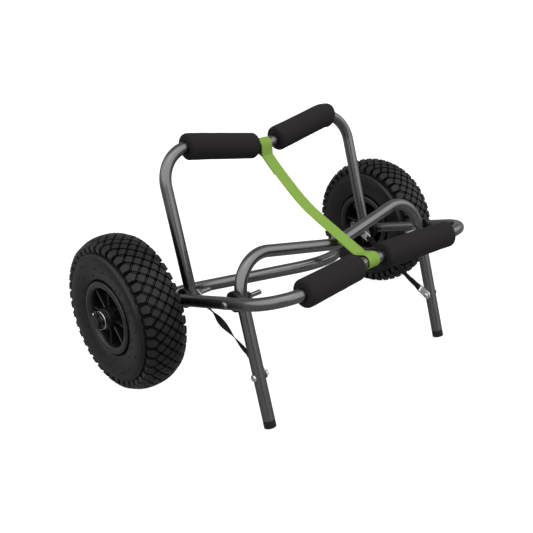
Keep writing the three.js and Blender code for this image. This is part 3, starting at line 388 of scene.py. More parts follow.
# Side wall from the lugs' feet down: (distance from the crown, depth) of a groove,
# a ring and a finer ring; then the wall to its seat in the rim, bead and hollow
WALL_RINGS = [(0.0476, 0.0046), (0.0484, 0.0032), (0.0492, 0.0030), (0.0500, 0.0034), (0.0512, 0.0028),
              (0.0532, 0.0014), (0.0538, 0.0004), (0.0545, 0.0004), (0.0552, 0.0010), (0.0575, 0.0006),
              (0.0605, 0.0002)]
SEAT_X, SEAT_R = 0.0362, 0.0660
WALL_SHARES = (0, 0.15, 0.3, 0.45, 0.6, 0.75, 0.9, 1.0)
TYRE_BEAD = [(0.0352, 0.0646), (0.0340, 0.0638), (0.0318, 0.0636), (0.0295, 0.0600), (0.0281, 0.0543)]
TYRE_HOLLOW = [(0.0231, 0.0543), (0.0300, 0.0700), (0.0362, 0.0940), (0.0300, 0.1130), (0.0150, 0.1195),
               (0, 0.1206)]
WALL_FACETS, SKIN_STEPS = 4, 400

profile = []
for i in range(SKIN_STEPS + 1):
    t = math.pi / 2 * i / SKIN_STEPS
    height = WHEEL_R - BELLY_R
    profile.append((TYRE_HALF * math.sin(t) ** (2 / TYRE_POWER),
                    BELLY_R + height * math.cos(t) ** (2 / TYRE_POWER)))
profile_arc = [0.0]
for (x0, r0), (x1, r1) in zip(profile, profile[1:]):
    profile_arc.append(profile_arc[-1] + math.hypot(x1 - x0, r1 - r0))


def tyre_skin(arc, depth):
    """Point (x, radius) at an arc length from the crown, sunk below the skin."""
    target = min(abs(arc), profile_arc[-1] * 0.9999)
    i = next(k for k in range(SKIN_STEPS) if profile_arc[k + 1] > target)
    span = profile_arc[i + 1] - profile_arc[i]
    share = (target - profile_arc[i]) / span
    (x0, r0), (x1, r1) = profile[i], profile[i + 1]
    dx, dr = (x1 - x0) / span, (r1 - r0) / span
    x, r = x0 + (x1 - x0) * share + dr * depth, r0 + (r1 - r0) * share - dx * depth
    return math.copysign(x, arc) if arc else 0.0, r


def on_tyre(x, r, slot):
    """Point at a radius, turned round the axle by half pitches."""
    a = math.pi * slot / PITCHES
    return (x, r * math.cos(a), r * math.sin(a))


def wall_point(share):
    """Point of the side wall, from its widest ring to its seat in the rim."""
    return TYRE_HALF - (TYRE_HALF - SEAT_X) * share ** 2, BELLY_R - (BELLY_R - SEAT_R) * share


SIDE, TOP, WALL, FLOOR = range(4)


class SkinBuilder:
    """Collects faces, each of one kind, whose corners are merged where they coincide."""

    def __init__(self):
        self.index, self.verts, self.faces, self.kinds = {}, [], [], {}

    def corner(self, point):
        key = tuple(round(c * 1e7) for c in point)
        if key not in self.index:
            self.index[key] = len(self.verts)
            self.verts.append(point)
        return self.index[key]

    def face(self, points, kind=SIDE):
        ids = []
        for point in points:
            i = self.corner(point)
            if i not in ids:
                ids.append(i)
        if len(ids) > 2:
            self.faces.append(ids)
            self.kinds[frozenset(ids)] = kind

    def bridge(self, near, far, kind=SIDE):
        """Faces all round between two rings of corners."""
        for k in range(len(near)):
            n = (k + 1) % len(near)
            self.face([near[k], near[n], far[n], far[k]], kind)


def tread_block(skin, corners):
    """One block: a foot on the groove floor, drafted walls, an eased top."""
    mid_arc, mid_slot = (sum(corner[k] for corner in corners) / len(corners) for k in (0, 1))

    def outline(share, depth):
        places = [(mid_arc + (arc - mid_arc) * share, mid_slot + (slot - mid_slot) * share)
                  for arc, slot in corners]
        return [on_tyre(*tyre_skin(arc, depth), slot) for arc, slot in places]

    rows = [outline(share, depth) for share, depth in BLOCK_ROWS]
    for low, high, kind in zip(rows, rows[1:], (FLOOR, WALL, TOP)):
        skin.bridge(low, high, kind)
    skin.face(rows[-1], TOP)


def groove_bars(skin, column, slot, turn):
    """Three short low bars along the middle of one groove, between two crossings."""
    for k in range(BAR_COUNT):
        middle = 0.5 + (k - (BAR_COUNT - 1) / 2) * BAR_PITCH
        rows = []
        for depth, half, end in BAR_ROWS:
            row = []
            for along, aside in ((-end, -half), (end, -half), (end, half), (-end, half)):
                t = middle + along
                place = tyre_skin((column + t + aside) * BLOCK_HALF, depth)
                row.append(on_tyre(*place, slot + turn * (t - aside)))
            rows.append(row)
        skin.bridge(*rows, WALL)
        skin.face(rows[1], WALL)


def shoulder_lug(skin, sign, slot):
    """House-shaped lug that narrows round the shoulder and ends in a steep foot."""

    def place(arc, depth, offset):
        return on_tyre(*tyre_skin(sign * arc, depth), slot + offset)

    def outline(inset, depth, end):
        tip = place(LUG_APEX + BLOCK_HALF * 1.5 * inset, min(depth, GROOVE_DEPTH), 0)
        left, right = [], []
        for arc, own in LUG_ROWS:
            reach = min(arc, end)
            proud = LUG_PROUD * min(1.0, (reach - LUG_WIDE) / LUG_RISE)
            d = min(depth - proud, own) if inset else own
            taper = LUG_TAPER * (reach - LUG_WIDE) / (LUG_FOOT - LUG_WIDE) if inset else 0
            half = (1 - inset) * (1 - taper)
            eave = LUG_EAVE if inset and arc == LUG_WIDE else 0
            left.append(place(reach + eave, d, -half))
            right.append(place(reach + eave, d, half))
        return tip, left, right

    levels = [outline(*level) for level in LUG_LEVELS]
    for (t0, l0, r0), (t1, l1, r1), kind in zip(levels, levels[1:], (FLOOR, WALL, TOP)):
        skin.face([t0, t1, l1[0], l0[0]], kind)
        skin.face([t0, r0[0], r1[0], t1], kind)
        for k in range(len(l0) - 1):
            skin.face([l0[k], l1[k], l1[k + 1], l0[k + 1]], kind)
            skin.face([r0[k], r0[k + 1], r1[k + 1], r1[k]], kind)
        skin.face([l0[-1], l1[-1], r1[-1], r0[-1]], kind)
    tip, left, right = levels[-1]
    skin.face([tip, left[0], right[0]], TOP)
    for k in range(len(left) - 1):
        skin.face([left[k], left[k + 1], right[k + 1], right[k]], TOP)


def tyre_object(name):
    """Tyre at the origin, and the kind of each of its faces."""
    skin = SkinBuilder()
    slots = 2 * PITCHES
    for column in range(-BLOCK_COLUMNS, BLOCK_COLUMNS + 1):
        for slot in range(abs(column) % 2, slots, 2):
            turns = ((1, 0), (0, 1), (-1, 0), (0, -1))
            tread_block(skin, [((column + da) * BLOCK_HALF, slot + ds) for da, ds in turns])
    for slot in range((BLOCK_COLUMNS + 1) % 2, slots, 2):
        for face in (1, -1):
            shoulder_lug(skin, face, slot)
    for column in range(-BLOCK_COLUMNS - 1, BLOCK_COLUMNS + 1):
        for slot in range((column + 1) % 2, slots, 2):
            groove_bars(skin, column, slot, 1)
            groove_bars(skin, column, slot, -1)
    foot = tyre_skin(LUG_FOOT, LUG_FOOT_DEPTH)
    half = [foot] + [tyre_skin(arc, depth) for arc, depth in WALL_RINGS]
    half += [wall_point(share) for share in WALL_SHARES] + TYRE_BEAD + TYRE_HOLLOW
    for face in (1, -1):
        rings = [[on_tyre(face * x, r, slot * 2 / WALL_FACETS) for slot in range(PITCHES * WALL_FACETS)]
                 for x, r in half]
        foot_ring = [on_tyre(face * foot[0], foot[1], 2 * k) for k in range(PITCHES)]
        for k in range(PITCHES):
            lower = [rings[1][(WALL_FACETS * k + m) % len(rings[1])] for m in range(WALL_FACETS + 1)]
            skin.face([foot_ring[k], *lower, foot_ring[(k + 1) % PITCHES]])
        for near, far in zip(rings[1:], rings[2:]):
            skin.bridge(near, far)
    return mesh_object(name, skin.verts, skin.faces), skin.kinds


def hub_place(sign):
    """Middle of a wheel on the axle's line."""
    return Matrix.Translation((sign * WHEEL_X, AXLE_Y, AXLE_Z))


# Rubber: satin side walls, scuffed block tops, moulded flanks, and groove floors painted much darker as shade
rubber = grained("tyre rubber", (0.0070, 0.0061, 0.0063), 900, 0.30, 0.38, 0.12, 0.30,
                 Specular_IOR_Level=0.33)
scuffed = grained("scuffed tread", (0.0078, 0.0068, 0.0071), 700, 0.45, 0.50, 0.14, 0.50,
                  Specular_IOR_Level=0.32)
flanks = grained("tread flanks", (0.0060, 0.0052, 0.0054), 900, 0.25, 0.30, 0.10, 0.15,
                 Specular_IOR_Level=0.55)
# Groove floors: a much darker colour and little gloss, painted shade in the grooves
shaded_groove_floors = grained("tread floors", (0.0026, 0.0022, 0.0023), 900, 0.25, 0.60, 0.10, 0.15,
                 Specular_IOR_Level=0.08)
PIP_COUNT, PIP_FACETS, PIP_STRAY = 34, 8, 0.4
PIP_R, PIP_TIP_R, PIP_LENGTH, PIP_PROUD = 0.0011, 0.0008, 0.0020, 0.0002
PIP_SHARES = (0.08, 0.35, 0.62, 0.8)
for side, sign in SIDES:
    tyre, kinds = tyre_object(f"tyre_skin_{side}")
    pips = bmesh.new()
    pips.from_mesh(tyre.data)
    chance = random.Random(11)
    for k in range(PIP_COUNT):
        a = 2 * math.pi * (k + chance.uniform(-PIP_STRAY, PIP_STRAY)) / PIP_COUNT
        x, r = wall_point(chance.choice(PIP_SHARES))
        for face in (1, -1):
            spot = Matrix.Rotation(a, 4, "X") @ Matrix.Translation((face * (x + PIP_PROUD), r, 0)) \
                @ Matrix.Rotation(math.pi / 2, 4, "Y")
            bmesh.ops.create_cone(pips, cap_ends=True, segments=PIP_FACETS, radius1=PIP_R,
                                  radius2=PIP_TIP_R, depth=PIP_LENGTH, matrix=spot)
    pips.to_mesh(tyre.data)
    pips.free()
    tyre.data.transform(hub_place(sign))
    finish_piece(tyre, rubber, f"wheel_{side}", "tyre_rubber", f"tyre_{side}")
    for material in (scuffed, flanks, shaded_groove_floors):
        tyre.data.materials.append(material)
    for polygon in tyre.data.polygons:
        polygon.material_index = kinds.get(frozenset(polygon.vertices), SIDE)

# Inner tubes. Butyl tubes fill the tyres and seat in the rims; each has a rubber
# covered valve stem with a ribbed screw cap, leaning out through the rim's dish.
INNER_SECTION = [(0.0221, 0.0556), (0.0352, 0.0900), (0.0330, 0.1040), (0, 0.1185)]
INNER_EASES, INNER_FACETS = [0.006, 0.008], 64
VALVE_ANGLE, VALVE_OUT = math.radians(-114.5), 0.016
STEM_OUTLINE = [(0.0565, 0), (0.0565, 0.0046), (0.0440, 0.0038), (0.0310, 0.0038), (0.0310, 0.0026),
                (0.0300, 0.0026), (0.0300, 0.0)]
STEM_EASES, STEM_FACETS = [0, 0.004, 0.0006, 0, 0], 24
CAP_RIBS, CAP_RIB_DEPTH, CAP_FACETS = 12, 0.00014, 48
CAP_RINGS = [(0.0302, 0.0026, 0), (0.0302, 0.0030, 1), (0.0292, 0.0032, 1), (0.0232, 0.0029, 1),
             (0.0222, 0.0026, 1), (0.0218, 0.0018, 0), (0.0218, 0.0002, 0)]
butyl = grained("butyl rubber", (0.012, 0.0115, 0.0115), 600, 0.2, 0.5, 0.1, 0.15, Specular_IOR_Level=0.4)


def ribbed_cap(name, move):
    """Valve cap whose sides carry fine ribs for the fingers."""
    turns = [2 * math.pi * k / CAP_FACETS for k in range(CAP_FACETS)]
    rings = []
    for h, r, ribbed in CAP_RINGS:
        radii = [r + ribbed * CAP_RIB_DEPTH * math.cos(CAP_RIBS * a) for a in turns]
        rings.append([(radius * math.cos(a), radius * math.sin(a), h) for radius, a in zip(radii, turns)])
    return mesh_object(name, *ring_stack(rings), move=move)


for side, sign in SIDES:
    half = rounded(INNER_SECTION, INNER_EASES)
    section = half + [(-x, r) for x, r in reversed(half[:-1])]
    lean = Matrix.Rotation(VALVE_ANGLE - math.pi / 2, 4, "X") @ Matrix.Translation((sign * VALVE_OUT, 0, 0))
    tube = turned(f"inner_tube_{side}", section, INNER_FACETS, "X", hub_place(sign))
    valve = turned(f"valve_stem_{side}", rounded(STEM_OUTLINE, STEM_EASES), STEM_FACETS,
                   move=hub_place(sign) @ lean)
    cap = ribbed_cap(f"valve_cap_{side}", hub_place(sign) @ lean)
    finish_piece(tube, butyl, f"wheel_{side}", "tube_rubber", f"inner_tube_{side}")
    finish_piece(valve, butyl, f"wheel_{side}", "tube_rubber")
    finish_piece(cap, black_plastic, f"wheel_{side}", "tube_rubber")

# Rims. Each is one black moulding: a rolled lip beside each bead, a deep dish on
# both sides of a web, eight thin ribs across the dish, and a long hub barrel
# with a bearing bush pressed in each end.
RIM_LIP_R, HUB_R, HUB_HALF, HUB_BORE = 0.0618, 0.0175, 0.040, 0.0138
WEB_HALF, DISH_R, WELL_R, RIM_FACETS = 0.003, 0.0455, 0.0537, 96
RIM_HALF = rounded(
    [(0.0, HUB_BORE), (HUB_HALF, HUB_BORE), (HUB_HALF, HUB_R), (WEB_HALF, HUB_R), (WEB_HALF, DISH_R),
     (0.0320, 0.0487), (0.0372, 0.0508), (0.0392, 0.0560), (0.0376, RIM_LIP_R), (0.0325, RIM_LIP_R),
     (0.0290, WELL_R), (0.0, WELL_R)],
    [0.0006, 0.0012, 0.0022, 0.0030, 0.0030, 0.0020, 0.0025, 0.0022, 0.0012, 0.0016])
moulded = grained("rim plastic", (0.0075, 0.0070, 0.0072), 500, 0.22, 0.30, 0.12, 0.18,
                  Specular_IOR_Level=0.5)

# Ribs: drafted, thicker at the web, the free edge rounded over (reach, half width)
RIB_COUNT, RIB_PHASE, RIB_REACH = 8, math.radians(-2), 0.0285
RIB_ROOT, RIB_SINK, RIB_FLARE = 0.001, 0.0012, 0.10
RIB_SECTION = [(-0.0005, 0.0016), (0.001, 0.00135), (RIB_REACH - 0.0012, 0.0011),
               (RIB_REACH - 0.0004, 0.0008), (RIB_REACH, 0.0003)]
BUSH_NEAR, BUSH_FAR, BUSH_BORE, BUSH_R = 0.0132, 0.0392, 0.0108, 0.0134


def built_object(name, work, move):
    """Object of a mesh that was built face by face."""
    mesh = bpy.data.meshes.new(name)
    work.to_mesh(mesh)
    work.free()
    mesh.transform(move)
    return link_object(name, mesh)


def rim_rib(work, face, turn):
    """One rib from the hub barrel to the dish, which it follows outward."""
    section = [(WEB_HALF + reach, w) for reach, w in RIB_SECTION]
    edge = section + [(x, -w) for x, w in reversed(section)]
    rows = [[(x, r, w) for x, w in edge] for r in (HUB_R - RIB_ROOT, (HUB_R + DISH_R) / 2, DISH_R + RIB_SINK)]
    rows.append([(x, DISH_R + RIB_SINK + (x - WEB_HALF) * RIB_FLARE, w) for x, w in edge])
    rows = [[work.verts.new(turn @ Vector((face * x, r, w))) for x, r, w in row] for row in rows]
    for near, far in zip(rows, rows[1:]):
        for i in range(len(edge)):
            n = (i + 1) % len(edge)
            work.faces.new((near[i], far[i], far[n], near[n]))
    work.faces.new(rows[0])
    work.faces.new(rows[-1][::-1])


def sleeve(start, end, bore, radius, near_ease, far_ease):
    """Outline of a short sleeve, its two outer edges eased."""
    return rounded([(start, bore), (start, radius), (end, radius), (end, bore)], [near_ease, far_ease])


def sideways(name, sign, outline, move, sides=48):
    """Turned piece whose outline runs outward along the axle."""
    return turned(name, [(sign * x, r) for x, r in outline], sides, "X", move)


for side, sign in SIDES:
    section = RIM_HALF + [(-x, r) for x, r in reversed(RIM_HALF[1:-1])]
    rim = turned(f"rim_moulding_{side}", section, RIM_FACETS, "X", hub_place(sign))
    ribs = bmesh.new()
    for face in (1, -1):
        for k in range(RIB_COUNT):
            rim_rib(ribs, face, Matrix.Rotation(RIB_PHASE + 2 * math.pi * k / RIB_COUNT, 4, "X"))
    bmesh.ops.recalc_face_normals(ribs, faces=ribs.faces)
    rib_object = built_object(f"rim_ribs_{side}", ribs, hub_place(sign))
    finish_piece(rim, moulded, f"wheel_{side}", "rim_plastic", f"rim_{side}")
    finish_piece(rib_object, moulded, f"wheel_{side}", "rim_plastic")
    bush_outline = sleeve(BUSH_NEAR, BUSH_FAR, BUSH_BORE, BUSH_R, 0.0004, 0.0005)
    for end, face in (("outer", sign), ("inner", -sign)):
        bush = sideways(f"hub_bush_{end}_{side}_turned", face, bush_outline, hub_place(sign))
        finish_piece(bush, black_plastic, f"wheel_{side}", "black_plastic", f"hub_bush_{end}_{side}")

# Axle ends. A plastic spacer stands between side arm and hub, a washer outside
# it; a steel pin leans through the tube, held by a sprung wire bow, and a
# moulded cap closes the tube end.
ARM_OUTER, HUB_INNER, HUB_OUTER = 0.249, 0.2685, 0.3485
SLIDE_R, SPACER_R, WASHER_R, WASHER_T = 0.0104, 0.0155, 0.0169, 0.0025
CAP_R, CAP_HEAD, CAP_TIP = 0.01075, 0.0024, 0.0020
PIN_X, PIN_LEAN, PIN_HEAD_R, PIN_FACETS = 0.359, math.radians(-38), 0.0028, 32
PIN_OUTLINE = [(-0.0116, 0), (-0.0116, 0.0014), (-0.0104, 0.00225), (0.0112, 0.00225), (0.0112, PIN_HEAD_R),
               (0.0176, PIN_HEAD_R), (0.0176, 0.0)]
PIN_EASES = [0, 0.0005, 0, 0.0004, 0.0008]
BOW_R, BOW_STEPS, BOW_HEEL, HOOK_REACH, HOOK_DROP = 0.0144, 6, 0.0075, 0.0048, 0.0030
WIRE_R, WIRE_BEND_R, WIRE_STEP, WIRE_FACETS = 0.0011, 0.0015, math.radians(9), 12
bright = grained("bright plated steel", (0.60, 0.585, 0.57), 1300, 0.12, 0.22, 0.08, 0.06, Metallic=1.0)
# The lock pin is given a near-black steel, much darker than the bright plated steel
dark_steel = grained("near-black pin steel", (0.035, 0.034, 0.034), 1300, 0.12, 0.35, 0.08, 0.06, Metallic=1.0)
for side, sign in SIDES:
    spacer = sleeve(ARM_OUTER + GAP, HUB_INNER - GAP, SLIDE_R, SPACER_R, 0.0008, 0.0008)
    spacer = sideways(f"axle_spacer_{side}", sign, spacer, DECK)
    finish_piece(spacer, black_plastic, "chassis", "black_plastic", f"axle_collar_{side}")
    washer = sleeve(HUB_OUTER + GAP, HUB_OUTER + GAP + WASHER_T, SLIDE_R, WASHER_R, 0.0006, 0.0006)
    washer = sideways(f"wheel_washer_{side}", sign, washer, DECK)
    finish_piece(washer, black_plastic, "chassis", "black_plastic", f"axle_washer_{side}")
    end, head = AXLE_END + GAP, AXLE_END + GAP + CAP_HEAD
    cap = rounded([(end - CAP_TIP, 0), (end - CAP_TIP, PLUG_R), (end, PLUG_R), (end, CAP_R), (head, CAP_R),
                   (head, 0.0)], [0, 0, 0.0003, 0.0014])
    cap = sideways(f"axle_end_cap_{side}", sign, cap, DECK)
    finish_piece(cap, black_plastic, "chassis", "black_plastic", f"axle_cap_{side}")
    lean = Matrix.Translation((sign * PIN_X, AXLE_Y, AXLE_Z)) @ Matrix.Rotation(PIN_LEAN, 4, "X")
    pin = turned(f"pin_{side}", rounded(PIN_OUTLINE, PIN_EASES), PIN_FACETS, move=lean)
    finish_piece(pin, dark_steel, "chassis", "bright_steel", f"lock_pin_{side}")
    inboard = -sign * (PIN_HEAD_R + GAP + WIRE_R)
    hook = sign * HOOK_REACH
    bends = [Vector((hook, 0, BOW_R - HOOK_DROP)), Vector((hook, 0, BOW_R))]
    for k in range(BOW_STEPS + 1):
        a = math.pi * k / BOW_STEPS
        bends.append(Vector((inboard, -BOW_R * math.sin(a), BOW_R * math.cos(a))))
    bends.append(Vector((inboard + sign * BOW_HEEL, 0, -BOW_R)))
    radii = [WIRE_BEND_R, WIRE_BEND_R] + [BOW_R / 2] * (BOW_STEPS - 1) + [WIRE_BEND_R]
    rings = []
    flat = Vector((0, 1, 0))
    for place, heading in bent_path(bends, radii, WIRE_STEP):
        flat = (flat - heading * flat.dot(heading)).normalized()
        rings.append(ring_at(place, heading, flat, WIRE_R, WIRE_FACETS))
    bow = mesh_object(f"wire_bow_{side}", *ring_stack(rings), move=lean)
    finish_piece(bow, bright, f"bow_{side}", "bright_steel", f"lock_bow_{side}")

# Pivots. Plated bolts with low domed heads and hex sockets hold the rear hoop
# and the stand to the side arms; a grooved plastic saddle keeps each leg off
# its arm, and a nylon-ringed hex nut closes the inside.
LEG_OUTER, LEG_BOLT_Z, BOLT_FACETS = 0.2255, -0.125, 48
PIVOT_BOLT = dict(tail=0.1780, shank=0.004, head=0.0065, height=0.0046, socket=0.0025)
LEG_BOLT = dict(tail=0.1988, shank=0.003, head=0.006, height=0.0036, socket=0.0020)
TIP_CHAMFER, HEAD_EDGE, HEAD_EASE, DOME_STEPS, DOME_POWER = 0.0007, 0.0003, 0.0004, 7, 0.8
SOCKET_ROWS = [(0.0001, 1.08), (0, 1.0), (-0.0016, 0.98), (-0.0020, 0.3)]

# Hex nut: (depth, reach against its flats), then its nylon collar and its bore
NUT_FLAT = 0.0065
NUT_HEX = [(0.0, 0.93), (0.0005, 1.2), (0.00403, 1.2), (0.00468, 0.95)]
NUT_COLLAR = [(0.00481, 0.0052), (0.006175, 0.00507), (0.0065, 0.00468), (0.0065, 0.0042), (0.0, 0.0042)]
ACORN_OUTLINE = [(0.2029, 0.0034), (0.2029, 0.0048), (0.2023, 0.0050), (0.2002, 0.0050), (0.1990, 0.0042),
                 (0.1982, 0.0030), (0.1979, 0.0)]
SADDLE_R, SADDLE_FLAT, SADDLE_EASE, SADDLE_LIP, SADDLE_FACETS = 0.0165, 0.2258, 0.0008, 0.0006, 64
SADDLE_HOLLOW, SADDLE_TOP = TUBE_R + 0.0004, ARM_X - TUBE_R + 0.004
SADDLE_RINGS = (SADDLE_R - SADDLE_LIP, 0.0145, 0.0125, 0.0110, 0.0095, 0.0080, 0.0062, 0.0043)
plated = grained("plated bolt steel", (0.22, 0.215, 0.21), 1300, 0.12, 0.15, 0.06, 0.05, Metallic=1.0)


def hexagon(k):
    """How far a hexagon reaches against its flats, at one of a bolt's facets."""
    a = 2 * math.pi * k / BOLT_FACETS
    return 1 / math.cos((a + math.pi / 6) % (math.pi / 3) - math.pi / 6)


def bolt_ring(x, radii):
    """Ring round a bolt's line, with a radius for each facet."""
    return [(x, r * c, r * s) for r, (c, s) in zip(radii, circle(BOLT_FACETS))]


def socket_bolt(name, sign, seat, move, tail, shank, head, height, socket):
    """Domed head with a hexagon socket, and a plain shank with a chamfered end."""
    rows = [(tail, 0.0), (tail, shank - TIP_CHAMFER), (tail + TIP_CHAMFER, shank), (seat, shank),
            (seat, head - HEAD_EDGE), (seat + HEAD_EASE, head)]
    for k in range(1, 5):
        a = math.pi / 2 * k / DOME_STEPS
        rows.append((seat + HEAD_EASE + (height - HEAD_EASE) * math.sin(a), head * math.cos(a) ** DOME_POWER))
    rings = [bolt_ring(sign * x, [r] * BOLT_FACETS) for x, r in rows]
    for rise, grow in SOCKET_ROWS:
        radii = [socket * grow * hexagon(k) for k in range(BOLT_FACETS)]
        rings.append(bolt_ring(sign * (rows[-1][0] + rise), radii))
    return mesh_object(name, *ring_stack(rings), move=move)


def hex_nut(name, sign, seat, move):
    """Hexagon nut with chamfered corners and a round nylon collar."""
    rings = []
    for depth, limit in NUT_HEX:
        radii = [NUT_FLAT * min(hexagon(k), limit) for k in range(BOLT_FACETS)]
        rings.append(bolt_ring(sign * (seat - depth), radii))
    rings += [bolt_ring(sign * (seat - depth), [r] * BOLT_FACETS) for depth, r in NUT_COLLAR]
    return mesh_object(name, *ring_stack(rings, closed=True), move=move)


def saddle_height(z):
    """Outer face of a saddle, hollowed to the round side arm."""
    drop = SADDLE_HOLLOW ** 2 - z ** 2
    return min(SADDLE_TOP, ARM_X - math.sqrt(drop)) if drop > 0 else SADDLE_TOP


def saddle(name, sign, move):
    """Round plastic spacer: a flat inner face, an eased edge, a hollowed outer face."""
    around = circle(SADDLE_FACETS)
    inner = [(SADDLE_RINGS[-1], SADDLE_FLAT), (SADDLE_R - SADDLE_EASE, SADDLE_FLAT),
             (SADDLE_R, SADDLE_FLAT + SADDLE_EASE)]
    rings = [[(sign * x, r * c, r * s) for c, s in around] for r, x in inner]
    lips = [max(SADDLE_FLAT + 0.001, saddle_height(SADDLE_R * s) - SADDLE_LIP) for c, s in around]
    rings.append([(sign * x, SADDLE_R * c, SADDLE_R * s) for x, (c, s) in zip(lips, around)])
    for r in SADDLE_RINGS:
        rings.append([(sign * saddle_height(r * s), r * c, r * s) for c, s in around])
    return mesh_object(name, *ring_stack(rings, closed=True), move=move)


for side, sign in SIDES:
    for end, pivot, nut_seat in (("rear", REAR_PIVOT, 0.2029), ("stand", STAND_PIVOT, 0.2042)):
        place = DECK @ Matrix.Translation(pivot)
        bolt = socket_bolt(f"{end}_bolt_{side}", sign, ARM_OUTER + GAP, place, **PIVOT_BOLT)
        finish_piece(bolt, plated, "chassis", "bright_steel", f"{end}_pivot_bolt_{side}")
        nut = hex_nut(f"{end}_nut_{side}", sign, nut_seat, place)
        finish_piece(nut, plated, "chassis", "bright_steel", f"{end}_pivot_nut_{side}")
        spacer = saddle(f"{end}_saddle_spacer_{side}", sign, place)
        finish_piece(spacer, black_plastic, "chassis", "black_plastic", f"{end}_saddle_{side}")
    place = stand_place @ Matrix.Translation((0, 0, LEG_BOLT_Z))
    bolt = socket_bolt(f"leg_screw_{side}", sign, LEG_OUTER + GAP, place, **LEG_BOLT)
    finish_piece(bolt, bright, "stand", "bright_steel", f"leg_bolt_{side}")
    nut = sideways(f"acorn_nut_{side}", sign, ACORN_OUTLINE, place, sides=32)
    finish_piece(nut, bright, "stand", "bright_steel", f"leg_nut_{side}")

# Limit straps. Stamped steel tabs sit on the rear pivots and on the leg bolts; a
# black polyester strip, the left one twisted, joins them and stops the stand.
# Its ends pass through the tabs' slots and are sewn back on themselves.
LIMIT_FROM, LIMIT_TO = REAR_PIVOT, STAND_PIVOT + Vector((0, 0, LEG_BOLT_Z))
LIMIT_ANGLE = math.atan2((LIMIT_TO - LIMIT_FROM).z, (LIMIT_TO - LIMIT_FROM).y)
TAB_X, TAB_T, TAB_W, TAB_REACH = 0.2042, 0.0020, 0.015, 0.0220
TAB_SLOT, TAB_BAR, TAB_EASE, TAB_EDGE = 0.0040, 0.0022, 0.0012, 0.0002
SLOT_END = TAB_REACH - TAB_BAR
LIMIT_W, LIMIT_T, LIMIT_SEWN, LIMIT_SPREAD = 0.011, 0.0011, 0.014, 0.0065
LIMIT_LAYER, LIMIT_STEPS, LIMIT_JOIN = 0.53, 48, 8

# Turn of the strip at its upper tab and at its lower one, and its sway between
LIMIT_HANG = {"left": (0.77, -math.pi, 0.0), "right": (0.0, 0.0, 0.40)}

# Cross-section of a strip: where its edge rounds over, against half its thickness
EDGE_OUT, EDGE_IN, EDGE_LIFT, STRIP_FACETS = 0.5, 1.6, 0.8, 6

# Weave group: ribs of crossing yarns along a strap, from its own flat map, with painted shade where the yarns
# dip
WEAVE_DEPTH, FUZZ_SCALE, FUZZ = 0.0003, 420.0, 0.35
weave, weave_in, weave_out = node_group(
    "webbing weave",
    [("Colour", "NodeSocketColor", (0.1, 0.1, 0.1, 1)), ("Shade", "NodeSocketFloat", 0.4),
     ("Pitch", "NodeSocketFloat", 0.0016), ("Bump", "NodeSocketFloat", 0.6)],
    [("Colour", "NodeSocketColor"), ("Roughness", "NodeSocketFloat"), ("Normal", "NodeSocketVector")],
)
flat_map = add_node(weave, "ShaderNodeUVMap", uv_map="weave").outputs["UV"]
apart = add_node(weave, "ShaderNodeSeparateXYZ", {0: flat_map})
where = add_node(weave, "ShaderNodeTexCoord").outputs["Object"]
fuzz = add_node(weave, "ShaderNodeTexNoise", {"Vector": where}, Scale=FUZZ_SCALE, Detail=3.0).outputs["Fac"]


def yarn_bulge(rows):
    """Rounded height of the yarns that lie in one direction."""
    wave = combine(weave, "SINE", combine(weave, "MULTIPLY", rows, math.pi))
    return combine(weave, "ABSOLUTE", wave)


across_rows = combine(weave, "DIVIDE", apart.outputs[0], weave_in["Pitch"])
along_rows = combine(weave, "DIVIDE", apart.outputs[1], weave_in["Pitch"])
chevron = combine(weave, "MULTIPLY", combine(weave, "PINGPONG", across_rows, 2.0), 0.5)
warp = yarn_bulge(across_rows)
weft = yarn_bulge(combine(weave, "ADD", along_rows, chevron))
yarn = combine(weave, "POWER", combine(weave, "MULTIPLY", warp, weft), 0.5)
lift = combine(weave, "MULTIPLY_ADD", fuzz, FUZZ, yarn)
# Painted shade: the colour darkens where the yarns dip and lightens on their crowns
painted_yarn_shade = combine(weave, "MULTIPLY_ADD", combine(weave, "SUBTRACT", lift, 0.85), weave_in["Shade"], 1.0)
dyed = add_node(weave, "ShaderNodeVectorMath", {0: weave_in["Colour"], "Scale": painted_yarn_shade}, operation="SCALE")
relief = add_node(weave, "ShaderNodeBump", {"Height": lift, "Strength": weave_in["Bump"]},
                  Distance=WEAVE_DEPTH)
weave.links.new(dyed.outputs[0], weave_out["Colour"])
weave.links.new(combine(weave, "MULTIPLY_ADD", fuzz, 0.12, 0.72), weave_out["Roughness"])
weave.links.new(relief.outputs[0], weave_out["Normal"])


def woven(name, colour, shade, pitch, bump_size, **shader):
    values = {"Colour": (*colour, 1), "Shade": shade, "Pitch": pitch, "Bump": bump_size}
    return finish(name, weave, values, shader)


def run_along(points):
    """Heading and length so far at each point of a line."""
    stops, so_far = [], 0.0
    for i, point in enumerate(points):
        if i:
            so_far += (point - points[i - 1]).length
        heading = points[min(i + 1, len(points) - 1)] - points[max(i - 1, 0)]
        stops.append((heading.normalized(), so_far))
    return stops


def strip_object(name, stations, width, thick, move):
    """Webbing strip through (centre, wide axis, thick axis, length so far) stations."""
    half, edge = width / 2, thick / 2
    ease, crown = edge * EDGE_IN, (edge * EDGE_OUT, edge * EDGE_LIFT)
    section = [(-half, 0.0), (-half + crown[0], crown[1]), (-half + ease, edge)]
    section += [(-half + ease + (width - 2 * ease) * k / STRIP_FACETS, edge) for k in range(1, STRIP_FACETS)]
    section += [(half - ease, edge), (half - crown[0], crown[1]), (half, 0.0)]
    section += [(w, -t) for w, t in reversed(section[1:-1])]
    rings = [[centre + wide * w + deep * t for w, t in section] for centre, wide, deep, _ in stations]
    strip = mesh_object(name, *ring_stack(rings), move=move)
    weave_map = strip.data.uv_layers.new(name="weave")
    for loop in strip.data.loops:
        i, k = divmod(loop.vertex_index, len(section))
        weave_map.data[loop.index].uv = (section[k][0] + half, stations[i][3])
    return strip


